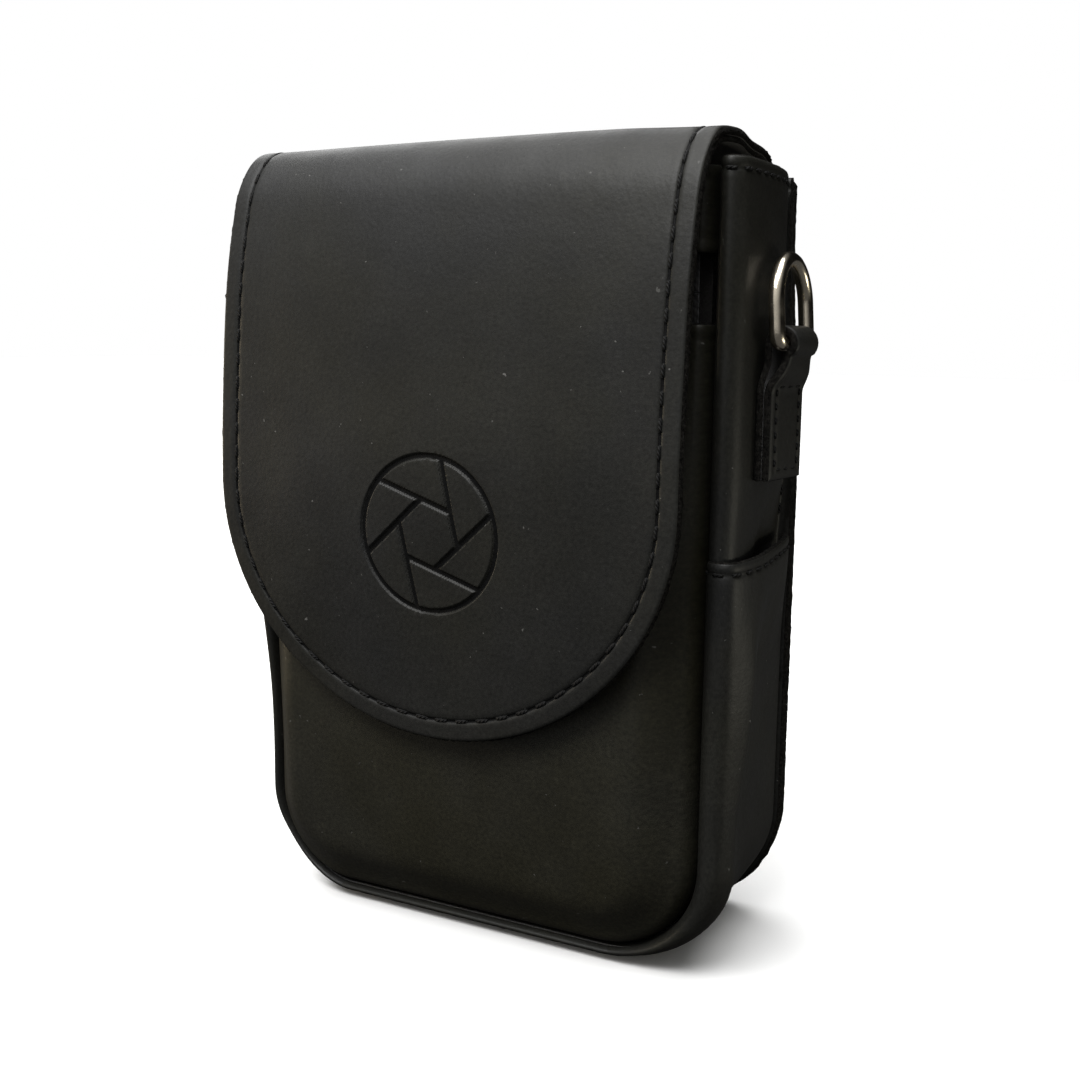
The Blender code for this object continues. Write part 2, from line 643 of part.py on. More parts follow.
def strap_ring(name, side, material):
    """A D-shaped wire ring: its origin is the axis of its straight bar."""
    half = RING_WIDTH / 2
    corner = RING_CORNER
    right = arc((half - corner, corner), corner, -90, 0, 4)
    right += arc((0, RING_LEG), half, 0, 90, 9)
    points = right + [(-y, z) for y, z in reversed(right[:-1])]
    curve = bpy.data.curves.new(name, "CURVE")
    curve.dimensions = "3D"
    curve.bevel_depth = WIRE / 2
    curve.bevel_resolution = 2
    spline = curve.splines.new("POLY")
    spline.points.add(len(points) - 1)
    for point, (y, z) in zip(spline.points, points):
        point.co = (0.0, y, z, 1.0)
    spline.use_cyclic_u = True
    item = add_object(name, curve, material)
    item.location = (side * BAR_X, RING_Y, BAR_Z)
    item.rotation_euler = (0.0, -side * math.radians(RING_LEAN), 0.0)
    return item


# ---------------------------------------------------------------- assembly

def main():
    clear_scene()
    materials = make_materials()
    leather, lining = materials["leather"], materials["lining"]
    back_panel(leather)
    back_lining(lining)
    gusset(leather)
    front_inner_wall(lining)
    front_sheet("front_upper_strip", STRIP_HEIGHTS, leather)
    front_sheet("front_lower_panel", PANEL_HEIGHTS, leather)
    zip_tapes(materials["tape"])
    zip_coils(materials["coil"])
    zip_stops(materials["nickel"])
    zip_slider(materials["nickel"])
    zip_pull(materials["nickel"])
    flap(leather, lining, materials["magnet"])
    panel_magnet(materials["magnet"])
    for end, side in (("right", 1), ("left", -1)):
        side_pocket("side_pocket_" + end, side, leather)
        ring_tab("ring_tab_" + end, side, leather)
        strap_ring("strap_ring_" + end, side, materials["nickel"])


main()
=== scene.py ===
"""The looks of a black leather flap case: leather, stitching, zip, metal, light and camera."""

import json
import math

import bmesh
import bpy
import numpy as np
from mathutils import Matrix, Vector
from mathutils.geometry import delaunay_2d_cdt


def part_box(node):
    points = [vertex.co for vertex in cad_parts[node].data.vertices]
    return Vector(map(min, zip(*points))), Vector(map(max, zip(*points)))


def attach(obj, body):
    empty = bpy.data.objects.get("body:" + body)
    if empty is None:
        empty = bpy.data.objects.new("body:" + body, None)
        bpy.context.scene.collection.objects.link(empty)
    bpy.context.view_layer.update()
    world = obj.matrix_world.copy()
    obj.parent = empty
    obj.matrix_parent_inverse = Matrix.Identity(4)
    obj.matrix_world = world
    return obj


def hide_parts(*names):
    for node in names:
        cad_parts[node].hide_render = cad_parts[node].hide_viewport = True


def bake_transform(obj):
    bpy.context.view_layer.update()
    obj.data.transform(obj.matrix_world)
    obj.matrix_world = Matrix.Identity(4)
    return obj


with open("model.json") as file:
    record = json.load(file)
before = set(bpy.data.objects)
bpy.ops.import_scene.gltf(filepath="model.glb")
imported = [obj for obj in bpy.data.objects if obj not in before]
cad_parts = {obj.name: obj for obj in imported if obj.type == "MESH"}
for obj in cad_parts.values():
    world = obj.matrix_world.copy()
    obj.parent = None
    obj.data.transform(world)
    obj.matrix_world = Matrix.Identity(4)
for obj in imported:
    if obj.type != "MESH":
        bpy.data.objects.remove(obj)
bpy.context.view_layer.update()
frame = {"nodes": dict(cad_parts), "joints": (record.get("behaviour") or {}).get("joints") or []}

MM = 0.001
SIDES = (("right", 1), ("left", -1))
RNG = np.random.default_rng(11)


def box_mm(node):
    """Lowest and highest corner of a CAD node."""
    low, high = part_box(node)
    return np.array(low) / MM, np.array(high) / MM


def joint_mm(name):
    return np.array(next(j for j in frame["joints"] if j["name"] == name)["pos_m"]) / MM


# ---------------------------------------------------------------- sizes, in millimetres

CASE_TOP = box_mm("gusset")[1][2]
BACK_HALF = box_mm("back_panel")[1][0]
REAR_Y = box_mm("back_panel")[1][1]
PANEL_TOP = box_mm("front_lower_panel")[1][2]
STRIP_BOTTOM, STRIP_TOP = box_mm("front_upper_strip")[0][2], box_mm("front_upper_strip")[1][2]
FLAP_HALF = box_mm("flap_front_outer")[1][0]
NECK_HALF = box_mm("flap_neck_outer")[1][0]
POCKET_TOP = box_mm("side_pocket_right")[1][2]
ZIP_Z = (box_mm("zip_tape_lower")[1][2] + box_mm("zip_tape_upper")[0][2]) / 2
COIL_BACK = box_mm("zip_coil_lower")[1][1]
ZIP_HALF = box_mm("zip_coil_lower")[1][0]
RING_AXIS = joint_mm("ring_right_swing")

BODY_LEATHER = 1.8
FLAP_LEATHER = 1.7
LINING = 1.1
LAYER_GAP = 0.12
FRONT_Y = -21.0
FRONT_HALF = 52.4
FRONT_RADIUS = 20.6
BACK_RADIUS = 25.8
FLANGE = 3.3
FLANGE_Y = REAR_Y - 2 * BODY_LEATHER - 0.6
SEAM_HEIGHT = 3.3
SEAM_Y = -18.6
ROUND_START_Z = 95.6
TAPER = (-18.0, 12.0)               # the flap narrows to its neck between these depths
RING_WIRE = 3.0
RING_WIDTH = 16.4
RING_LEG = 7.6
RING_CORNER = 1.9
RING_LEAN = math.radians(4.0)
TAB_WIDTH = 12.6
TAB_LEATHER = 1.6
TAB_BOTTOM = box_mm("ring_tab_right")[0][2]
TAB_NECK = 119.7
TAB_STITCH = 1.8                    # from a tab's edge to its stitches

FLAP_LINE = [(21.0, 149.0), (21.0, 155.5), (19.2, 161.6), (14.0, 165.1), (0.0, 165.7),
             (-14.0, 165.5), (-24.3, 163.9), (-30.4, 157.3), (-33.3, 148.0), (-35.6, 134.5),
             (-37.1, 115.0), (-37.75, 96.0), (-37.2, 70.0), (-35.7, 45.6)]
SIDE_UPPER = [(-16.0, 0.3), (-18.6, 0.3), (-21.6, 0.6), (-23.5, 2.0), (-23.4, 4.0), (-20.6, 5.8),
              (-14.5, 6.5), (-7.0, 6.5), (0.0, 6.3), (6.0, 5.6), (11.0, 4.3), (14.2, 2.8),
              (15.9, 2.1), (16.7, 2.5), (16.8, 3.3), (16.8, 4.0)]
SIDE_LOWER = [(-16.0, 0.3), (-18.6, 0.3), (-21.6, 0.6), (-23.5, 2.0), (-23.2, 3.9), (-20.4, 5.3),
              (-14.5, 5.2), (-8.0, 3.9), (-1.5, 2.0), (4.5, 1.6), (10.0, 1.3), (14.0, 1.0),
              (15.9, 0.9), (16.7, 1.8), (16.8, 3.3), (16.8, 4.8)]
SIDE_BASE = [(-16.0, 0.3), (-18.6, 0.3), (-21.6, 0.6), (-23.5, 2.0), (-23.2, 3.9), (-20.8, 4.9),
             (-15.5, 3.9), (-9.0, 2.4), (-2.0, 1.6), (4.5, 1.4), (10.0, 1.2), (14.0, 1.0),
             (15.9, 0.9), (16.7, 1.8), (16.8, 3.3), (16.8, 4.8)]
BOTTOM_SECTION = [(-16.0, -0.05), (-18.6, -0.05), (-21.4, 0.1), (-23.0, 0.8), (-22.7, 1.6),
                  (-20.3, 2.0), (-14.5, 2.9), (-8.0, 3.3), (-1.5, 3.3), (4.0, 3.3), (9.0, 2.4),
                  (13.0, 1.6), (15.9, 1.2), (16.7, 2.0), (16.8, 3.3), (16.8, 4.8)]
POCKET_MOUTH = [(-18.9, 0.35), (-22.0, 0.5), (-24.4, 2.0), (-24.8, 4.2), (-23.9, 6.2), (-21.4, 7.3),
                (-17.0, 8.0), (-11.5, 8.2), (-5.0, 7.6), (1.5, 6.8), (8.0, 5.9), (12.6, 4.9),
                (14.6, 4.0), (15.8, 3.4)]
POCKET_MIDDLE = [(-18.9, 0.35), (-22.0, 0.5), (-24.4, 2.0), (-24.8, 4.2), (-23.6, 6.2),
                 (-20.4, 7.6), (-15.9, 8.7), (-13.0, 7.7), (-7.0, 5.6), (0.0, 4.4), (6.5, 4.0),
                 (12.0, 3.6), (14.4, 3.3), (15.8, 3.1)]
POCKET_BASE = [(-18.9, 0.35), (-22.0, 0.5), (-24.4, 2.0), (-24.8, 4.0), (-23.8, 5.7), (-21.4, 6.7),
               (-18.9, 7.0), (-15.5, 5.7), (-8.5, 4.2), (-1.5, 3.8), (5.5, 3.6), (11.5, 3.4),
               (14.4, 3.2), (15.8, 3.0)]
POCKET_FLOOR = [(-18.9, 0.35), (-21.8, 0.45), (-24.0, 1.2), (-24.0, 2.4), (-23.0, 3.3),
                (-20.8, 3.8), (-17.5, 4.0), (-13.5, 4.2), (-8.0, 4.3), (-1.5, 4.3), (5.0, 4.2),
                (11.0, 3.8), (14.4, 3.4), (15.8, 3.3)]
SINK = (80.0, 104.0)                # the sides turn from hollow to full between these heights
HOLLOW = (28.0, 62.0)               # and are most hollow below the first of these
MOUTH = (60.0, 82.0)                # the side pockets open out between these
BELLY = [(3.0, 7.6), (10.0, 9.2), (18.0, 10.9), (30.0, 12.5), (45.0, 13.3), (60.0, 12.6),
         (78.0, 11.2), (96.0, 9.2), (113.0, 6.8), (129.0, 5.0), (160.0, 5.0)]
EDGE_DEPTH, EDGE_ROLL, BELLY_RISE = 5.0, 2.4, 10.5

STITCH_INSET = 4.0
STITCH_PITCH = 4.9
THREAD = 0.72                       # thread diameter

# The camera, in metres and degrees
CAMERA_PLACE = (0.15411, -0.26736, 0.12765)
CAMERA_YAW, CAMERA_PITCH, CAMERA_ROLL = 29.28, 8.474, 0.794
CAMERA_LENS = 46.97


# ---------------------------------------------------------------- materials

class Looks:
    """A material being put together; every texture it adds gives back that texture's output."""

    def __init__(self, name, colour, roughness, metallic=0.0):
        self.material = bpy.data.materials.new(name)
        self.material.use_nodes = True
        self.material.diffuse_color = (*colour, 1.0)
        self.nodes, self.links = self.material.node_tree.nodes, self.material.node_tree.links
        self.set("Base Color", colour)
        self.set("Roughness", roughness)
        self.set("Metallic", metallic)

    def put(self, socket, value):
        """Links a socket to another node's output, or gives it a number or a colour, or neither."""
        if isinstance(value, bpy.types.NodeSocket):
            self.links.new(value, socket)
        elif socket.type == "RGBA":
            socket.default_value = (*value, 1.0)
        elif value is not None:
            socket.default_value = value

    def set(self, name, value):
        """Puts a value into an input of the material's shader."""
        self.put(self.nodes["Principled BSDF"].inputs[name], value)

    def add(self, kind, output, inputs, settings=()):
        """Adds a node and gives back one of its outputs; its settings come before its inputs."""
        node = self.nodes.new("ShaderNode" + kind)
        for name, value in settings:
            setattr(node, name, value)
        for name, value in inputs.items():
            self.put(node.inputs[name], value)
        return node.outputs[output]

    def flat(self):
        """Places on the flat cut of a piece, where one unit is one metre."""
        return self.add("UVMap", "UV", {})

    def place(self):
        """Places in a piece's own space, in metres."""
        return self.add("TexCoord", "Object", {})

    def noise(self, places, scale, detail=4.0, roughness=0.55):
        return self.add("TexNoise", "Fac", {"Vector": places, "Scale": scale, "Detail": detail,
                                            "Roughness": roughness})

    def cells(self, places, scale):
        return self.add("TexVoronoi", "Distance", {"Vector": places, "Scale": scale})

    def wave(self, places, scale, direction, distortion=0.0):
        return self.add("TexWave", "Fac", {"Vector": places, "Scale": scale,
                                           "Distortion": distortion},
                        [("bands_direction", direction)])

    def bump(self, height, strength, distance, normal=None):
        return self.add("Bump", "Normal", {"Height": height, "Strength": strength,
                                           "Distance": distance, "Normal": normal})

    def mix(self, factor, first, second, blend="MIX"):
        return self.add("Mix", "Result", {"Factor": factor, "A": first, "B": second},
                        [("data_type", "RGBA"), ("blend_type", blend)])

    def ramp(self, value, low, high, dark, light):
        """Maps value from low..high to dark..light, which are colours or grey levels."""
        node = self.nodes.new("ShaderNodeValToRGB")
        for element, position, colour in zip(node.color_ramp.elements, (low, high), (dark, light)):
            element.position = position
            element.color = (*(colour if isinstance(colour, tuple) else (colour,) * 3), 1.0)
        self.put(node.inputs["Fac"], value)
        return node.outputs["Color"]


def leather_material(name, colour):
    """Smooth matte leather: faint pores and creases, soft tone changes, scuffs and pale specks."""
    rough, grain = 0.47, 0.25
    looks = Looks(name, colour, rough)
    flat = looks.flat()
    olive = (colour[0] * 1.02, colour[1] * 1.01, colour[2] * 0.86)
    slate = (colour[0] * 0.99, colour[1] * 1.02, colour[2] * 1.12)
    base = looks.ramp(looks.noise(flat, 21.0, 3.0), 0.36, 0.64, olive, slate)
    shade = looks.ramp(looks.noise(flat, 46.0, 6.0, 0.62), 0.28, 0.75, 0.74, 1.3)
    mottle = looks.ramp(looks.noise(flat, 1150.0, 4.0, 0.7), 0.3, 0.72, 0.62, 1.5)
    base = looks.mix(1.0, looks.mix(1.0, base, shade, "MULTIPLY"), mottle, "MULTIPLY")
    worn = looks.ramp(looks.noise(flat, 240.0, 6.0, 0.7), 0.60, 0.84, 0.0, 0.55)
    base = looks.mix(worn, base, tuple(c * 3.0 for c in colour))
    for scale, low, high in ((560.0, 0.735, 0.76), (1050.0, 0.745, 0.77)):
        grains = looks.ramp(looks.noise(flat, scale, 2.0, 0.5), low, high, 0.0, 1.0)
        where = looks.ramp(looks.noise(flat, scale / 7.0, 2.0, 0.5), 0.46, 0.58, 0.0, 0.8)
        shown = looks.mix(1.0, grains, where, "MULTIPLY")
        base = looks.mix(shown, base, (0.15, 0.147, 0.138))
    looks.set("Base Color", base)
    sheen = looks.noise(flat, 75.0, 6.0, 0.65)
    looks.set("Roughness", looks.ramp(sheen, 0.25, 0.8, rough - 0.06, rough + 0.10))
    normal = looks.bump(looks.noise(flat, 130.0, 5.0, 0.6), 0.45, 0.00025)
    normal = looks.bump(looks.cells(flat, 900.0), grain, 0.00007, normal)
    normal = looks.bump(looks.noise(flat, 1500.0, 3.0, 0.6), grain * 1.5, 0.00010, normal)
    looks.set("Normal", normal)
    looks.set("IOR", 1.34)
    looks.set("Specular IOR Level", 0.56)
    return looks.material


def groove_shade_material():
    """Near-black leather at the bottom of pressed lines and stitch channels: painted shade in these
    grooves.
    """
    looks = Looks("groove_painted_shade", (0.003, 0.003, 0.003), 0.6)
    fine = looks.noise(looks.flat(), 900.0, 4.0, 0.7)
    looks.set("Base Color", looks.ramp(fine, 0.3, 0.8, 0.0016, 0.006))
    looks.set("Normal", looks.bump(fine, 0.5, 0.0002))
    looks.set("Specular IOR Level", 0.12)
    return looks.material


def edge_material():
    """The cut edge: dark fibres."""
    looks = Looks("leather_cut_edge", (0.006, 0.006, 0.005), 0.9)
    fibres = looks.noise(looks.place(), 1400.0, 6.0, 0.75)
    looks.set("Base Color", looks.ramp(fibres, 0.42, 0.80, (0.0025, 0.0023, 0.002),
                                       (0.030, 0.028, 0.024)))
    looks.set("Normal", looks.bump(fibres, 0.9, 0.0005))
    looks.set("Specular IOR Level", 0.10)
    return looks.material


def suede_material():
    """The flesh side of the lining."""
    looks = Looks("lining_suede", (0.020, 0.019, 0.018), 0.95)
    flat = looks.flat()
    nap = looks.noise(flat, 2600.0, 5.0, 0.7)
    fine = looks.ramp(nap, 0.3, 0.75, (0.012, 0.011, 0.010), (0.040, 0.038, 0.035))
    drift = looks.ramp(looks.noise(flat, 90.0, 4.0), 0.3, 0.7, (0.012, 0.011, 0.011),
                       (0.034, 0.032, 0.030))
    looks.set("Base Color", looks.mix(0.4, fine, drift))
    looks.set("Normal", looks.bump(nap, 0.6, 0.0003))
    looks.set("Sheen Weight", 0.25)
    looks.set("Specular IOR Level", 0.2)
    return looks.material


def thread_material():
    """Waxed black thread with a fine twist."""
    looks = Looks("thread", (0.004, 0.004, 0.004), 0.7)
    twist = looks.wave(looks.flat(), 700.0, "DIAGONAL", 1.0)
    looks.set("Base Color", looks.ramp(twist, 0.2, 0.9, 0.002, 0.010))
    looks.set("Normal", looks.bump(twist, 0.7, 0.0002))
    looks.set("Specular IOR Level", 0.2)
    return looks.material


def tape_material():
    """Woven zip tape: a fine herringbone."""
    looks = Looks("zip_tape_weave", (0.013, 0.013, 0.013), 0.9)
    flat = looks.flat()
    weave = looks.mix(0.5, looks.wave(flat, 260.0, "X"), looks.wave(flat, 420.0, "DIAGONAL"))
    looks.set("Base Color", looks.ramp(weave, 0.2, 0.8, 0.006, 0.028))
    looks.set("Normal", looks.bump(weave, 0.8, 0.0002))
    looks.set("Sheen Weight", 0.2)
    return looks.material


def coil_material():
    """Nylon of the zip's coils."""
    looks = Looks("zip_nylon", (0.014, 0.014, 0.015), 0.35)
    fine = looks.noise(looks.place(), 900.0, 3.0)
    looks.set("Roughness", looks.ramp(fine, 0.3, 0.7, 0.28, 0.45))
    return looks.material


def metal_material(name, colour, roughness):
    """Plated metal with soft handling marks."""
    looks = Looks(name, colour, roughness, 1.0)
    place = looks.place()
    smear = looks.noise(place, 260.0, 4.0)
    looks.set("Roughness", looks.ramp(smear, 0.3, 0.75, roughness * 0.75, roughness * 1.7))
    worn = tuple(c * 0.86 for c in colour)
    looks.set("Base Color", looks.ramp(smear, 0.25, 0.8, worn, colour))
    looks.set("Normal", looks.bump(looks.noise(place, 1800.0, 2.0), 0.12, 0.0001))
    return looks.material


LEATHER = leather_material("black_leather", (0.0125, 0.0123, 0.0108))
# Leather of the front panel and strip: olive and lighter than the black leather, partly the panel's own
# olive tone and partly painted warm sheen.
OLIVE_WARM_LIT_LEATHER = leather_material("olive_warm_lit_leather", (0.0172, 0.0161, 0.0109))
# Near-black groove material: painted shade in pressed lines and stitch channels.
GROOVE_SHADE = groove_shade_material()
EDGE = edge_material()
SUEDE = suede_material()
THREAD_BLACK = thread_material()
TAPE = tape_material()
NYLON = coil_material()
NICKEL = metal_material("nickel_plate", (0.88, 0.79, 0.64), 0.17)
STEEL = metal_material("magnet_plate", (0.55, 0.55, 0.56), 0.3)


# ---------------------------------------------------------------- mesh tools

def smooth_step(value, low, high):
    """Rises smoothly from 0 at low to 1 at high."""
    t = np.clip((value - low) / (high - low), 0.0, 1.0)
    return t * t * (3.0 - 2.0 * t)


def catmull(points, steps):
    """Smooth curve through points of any dimension: steps chords for each span, ends included."""
    p = np.array(points, float)
    p = np.vstack([p[:1], p, p[-1:]])
    t = np.linspace(0.0, 1.0, steps, endpoint=False)[:, None]
    spans = []
    for i in range(1, len(p) - 2):
        a, b, c, d = p[i - 1:i + 3]
        spans.append(0.5 * (2 * b + (c - a) * t + (2 * a - 5 * b + 4 * c - d) * t ** 2
                            + (3 * b - a - 3 * c + d) * t ** 3))
    return np.vstack(spans + [p[-1:]])


def lengths(points):
    """Distance along a polyline at each of its points."""
    return np.concatenate([[0.0], np.cumsum(np.linalg.norm(np.diff(points, axis=0), axis=1))])


def unit(rows):
    """Rows of a table as vectors of length one."""
    return rows / np.maximum(np.linalg.norm(rows, axis=1, keepdims=True), 1e-9)


def add_mesh(name, points, faces, materials, face_material=None, flat=None, sharp=50.0):
    """Mesh object from points in millimetres; flat holds each point's place on the flat cut."""
    mesh = bpy.data.meshes.new(name)
    mesh.from_pydata((np.asarray(points) * MM).tolist(), [], [list(map(int, f)) for f in faces])
    if flat is not None:
        layer = mesh.uv_layers.new(name="flat_cut")
        corner = np.zeros(len(mesh.loops), int)
        mesh.loops.foreach_get("vertex_index", corner)
        layer.data.foreach_set("uv", (np.asarray(flat) * MM)[corner].astype(np.float32).ravel())
    for material in materials:
        mesh.materials.append(material)
    if face_material is not None:
        mesh.polygons.foreach_set("material_index", np.asarray(face_material, np.int32))
    mesh.validate()
    mesh.shade_smooth()
    mesh.set_sharp_from_angle(angle=math.radians(sharp))
    item = bpy.data.objects.new(name, mesh)
    bpy.context.scene.collection.objects.link(item)
    return item


def leather(name, flat, faces, surface, thickness, relief=0.0, materials=None, bulge=0.32,
            rough=0.05, is_cut=None, wall_rows=4, gets_groove_shade=None):
    """A leather piece: its grain side, its flesh side and a rounded, slightly ragged cut edge.

    flat holds places on the flat cut, surface(u, v, h) puts them in space at height h over the
    grain side, and is_cut marks borders where the leather goes on in the next piece."""
    u, v = flat[:, 0], flat[:, 1]
    count = len(flat)
    faces = [tuple(f) for f in faces]
    directed = set()
    for f in faces:
        directed.update(zip(f, f[1:] + f[:1]))
    border = np.array([e for e in directed if (e[1], e[0]) not in directed])
    along = flat[border[:, 1]] - flat[border[:, 0]]
    away = unit(np.stack([along[:, 1], -along[:, 0]], axis=1))
    outward = np.zeros((count, 2))
    np.add.at(outward, border[:, 0], away)
    np.add.at(outward, border[:, 1], away)
    rim = np.unique(border)
    outward = unit(outward[rim])
    loose = np.ones(len(rim))
    if is_cut is not None:
        loose = np.where(is_cut(u[rim], v[rim]), 0.0, 1.0)
    height = np.zeros(count) + relief
    points = [surface(u, v, height), surface(u, v, np.full(count, -thickness))]
    places = [flat, flat]
    rows = [dict(zip(rim, rim))]
    start = 2 * count
    for k in range(1, wall_rows):
        share = k / wall_rows
        reach = loose * (bulge * math.sin(math.pi * share) + RNG.normal(0.0, rough, len(rim)))
        drop = height[rim] * (1 - share) - thickness * share
        drop = drop + loose * RNG.normal(0.0, rough * 0.5, len(rim))
        wall = flat[rim] + outward * reach[:, None]
        points.append(surface(wall[:, 0], wall[:, 1], drop))
        places.append(wall)
        rows.append(dict(zip(rim, range(start, start + len(rim)))))
        start += len(rim)
    rows.append(dict(zip(rim, rim + count)))
    all_faces = list(faces) + [tuple(i + count for i in reversed(f)) for f in faces]
    kinds = [0] * len(faces) + [2] * len(faces)
    # The faces that this test picks get the fourth, near-black material: painted shade in the grooves.
    if gets_groove_shade is not None:
        middles = np.array([flat[list(f)].mean(axis=0) for f in faces])
        kinds[:len(faces)] = np.where(gets_groove_shade(middles), 3, 0).tolist()
    for upper, lower in zip(rows, rows[1:]):
        for a, b in border:
            all_faces.append((upper[b], upper[a], lower[a], lower[b]))
            kinds.append(1)
    materials = materials or (LEATHER, EDGE, SUEDE, GROOVE_SHADE)
    return add_mesh(name, np.vstack(points), all_faces, materials, kinds, np.vstack(places))


def leather_twin(name, flat, faces, surface, thickness, relief, sign, bulge=0.32):
    """A leather piece or, for a sign of -1, its mirror twin, turned over on the flat cut."""
    if sign > 0:
        return leather(name, flat, faces, surface, thickness, relief, bulge=bulge)

    def mirrored(u, v, h):
        return surface(u, -v, h)
    return leather(name, flat * np.array([1, -1]), [f[::-1] for f in faces], mirrored, thickness,
                   relief, bulge=bulge)


def rounded(distance, depth=0.25, width=0.9):
    """How far the grain side drops at a distance from a rounded edge."""
    return depth * np.clip(1 - distance / width, 0, 1) ** 2


def channel(distance, place, depth, width):
    """How far stitches have pressed the grain side in along a line at place."""
    return depth * np.exp(-((distance - place) / width) ** 2)


def grid_faces(rows, columns, flip=False):
    faces = []
    for i in range(rows - 1):
        for j in range(columns - 1):
            a = i * columns + j
            face = (a, a + 1, a + columns + 1, a + columns)
            faces.append(face[::-1] if flip else face)
    return faces


def grid_places(us, vs):
    u, v = np.meshgrid(us, vs, indexing="ij")
    return np.stack([u.ravel(), v.ravel()], axis=1)


def grid(us, vs):
    """Flat places of a grid and its faces, turned anticlockwise in the flat cut."""
    return grid_places(us, vs), grid_faces(len(us), len(vs), flip=True)


def triangulate(places, lines):
    """Places and triangles of a flat cut whose triangles keep to the given lines."""
    made = delaunay_2d_cdt([Vector(p) for p in places], [(int(a), int(b)) for a, b in lines], [], 1,
                           1e-5)
    return np.array([tuple(p) for p in made[0]]), [tuple(f) for f in made[2]]


def offset_surface(base, mirror=False):
    """surface(u, v, h) from base(u, v): h is measured along the surface's normal."""
    def surface(u, v, h):
        step = 0.02
        middle = base(u, v)
        du = base(u + step, v) - base(u - step, v)
        dv = base(u, v + step) - base(u, v - step)
        height = np.reshape(h, (-1, 1)) * (-1.0 if mirror else 1.0)
        return middle + unit(np.cross(du, dv)) * height
    return surface


def tube_faces(rings, sides, first=0, shift=None):
    """Faces of a tube of rings, capped or, where shift is given, closed on itself with that turn."""
    faces = []
    for i in range(rings - 1 if shift is None else rings):
        j = (i + 1) % rings
        back = shift if j < i else 0
        for c in range(sides):
            d = (c + 1) % sides
            faces.append((i * sides + c, i * sides + d, j * sides + (d - back) % sides,
                          j * sides + (c - back) % sides))
    if shift is None:
        faces.append(tuple(reversed(range(sides))))
        faces.append(tuple((rings - 1) * sides + c for c in range(sides)))
    return [tuple(first + i for i in face) for face in faces]


def stitches(name, surface, route, pitch=STITCH_PITCH, length=3.7, thread=THREAD, lift=0.12):
    """Thread along a route on the flat cut: one short bowed run for each stitch."""
    route = np.asarray(route, float)
    travelled = lengths(route)
    number = max(int(round(travelled[-1] / pitch)), 1)
    pitch = travelled[-1] / number
    rings, sides = 7, 6
    along = np.linspace(-1.0, 1.0, rings)
    angles = np.linspace(0.0, 2 * math.pi, sides, endpoint=False)
    us, vs, hs, uvs, faces = [], [], [], [], []
    for i in range(number):
        middle = (i + 0.5) * pitch + RNG.normal(0.0, 0.06)
        size = length / 2 * (1 + RNG.normal(0.0, 0.03))
        turn = RNG.normal(0.0, 0.025)
        at = np.array([np.interp(middle, travelled, route[:, k]) for k in (0, 1)])
        ahead = np.array([np.interp(middle + 0.5, travelled, route[:, k])
                          - np.interp(middle - 0.5, travelled, route[:, k]) for k in (0, 1)])
        ahead /= max(np.linalg.norm(ahead), 1e-9)
        ahead = np.array([ahead[0] * math.cos(turn) - ahead[1] * math.sin(turn),
                          ahead[0] * math.sin(turn) + ahead[1] * math.cos(turn)])
        side = np.array([-ahead[1], ahead[0]])
        for a in along:
            radius = thread / 2 * math.sqrt(max(1 - abs(a) ** 5, 0.12))
            sink = -0.85 * abs(a) ** 6
            for angle in angles:
                place = at + ahead * a * size + side * radius * math.cos(angle)
                us.append(place[0])
                vs.append(place[1])
                hs.append(lift + sink + radius * 0.8 * math.sin(angle))
                uvs.append((middle + a * size, radius * angle))
        faces += tube_faces(rings, sides, i * rings * sides)
    points = surface(np.array(us), np.array(vs), np.array(hs))
    item = add_mesh(name, points, faces, (THREAD_BLACK,), flat=np.array(uvs), sharp=80.0)
    fix_outward(item)
    return item


def fix_outward(item):
    """Turns every closed shell of a mesh to face outwards."""
    bm = bmesh.new()
    bm.from_mesh(item.data)
    bmesh.ops.recalc_face_normals(bm, faces=bm.faces)
    bm.to_mesh(item.data)
    bm.free()


def tube(name, points, radius, material, sides=16, closed=False):
    """A round wire along points."""
    p = np.asarray(points, float)
    if closed:
        ahead = np.roll(p, -1, axis=0) - np.roll(p, 1, axis=0)
    else:
        ahead = np.gradient(p, axis=0)
    ahead = unit(ahead)
    first = np.cross(ahead[0], (0.3, 0.5, 0.81))
    first /= np.linalg.norm(first)
    frames = [first]
    for i in range(1, len(p)):
        carried = frames[-1] - ahead[i] * np.dot(frames[-1], ahead[i])
        frames.append(carried / np.linalg.norm(carried))
    frames = np.array(frames)
    across = np.cross(ahead, frames)
    angles = np.linspace(0.0, 2 * math.pi, sides, endpoint=False)
    rings = (p[:, None] + radius * (np.cos(angles)[None, :, None] * frames[:, None]
                                    + np.sin(angles)[None, :, None] * across[:, None]))
    shift = None
    if closed:
        gap = [np.linalg.norm(rings[-1] - np.roll(rings[0], s, axis=0)) for s in range(sides)]
        shift = int(np.argmin(gap))
    faces = tube_faces(len(p), sides, shift=shift)
    item = add_mesh(name, rings.reshape(-1, 3), faces, (material,), sharp=60.0)
    fix_outward(item)
    return item


def place_piece(item, body, slot, *nodes):
    """Attaches a piece to its body's empty and hides the CAD nodes it stands for; slot is not used."""
    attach(item, body)
    if nodes:
        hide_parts(*nodes)


def stitch_row(name, surface, start, end, steps, **sizes):
    """A straight row of stitches between two places on the flat cut, sewn to the case."""
    place_piece(stitches(name, surface, np.linspace(start, end, steps), **sizes), "case", "leather")


# ---------------------------------------------------------------- flap

FLAP_STEPS = 24                     # chords for each span of the flap line
NECK_CUT = 2 * FLAP_STEPS
SEGMENTS = ("neck", "top", "front")

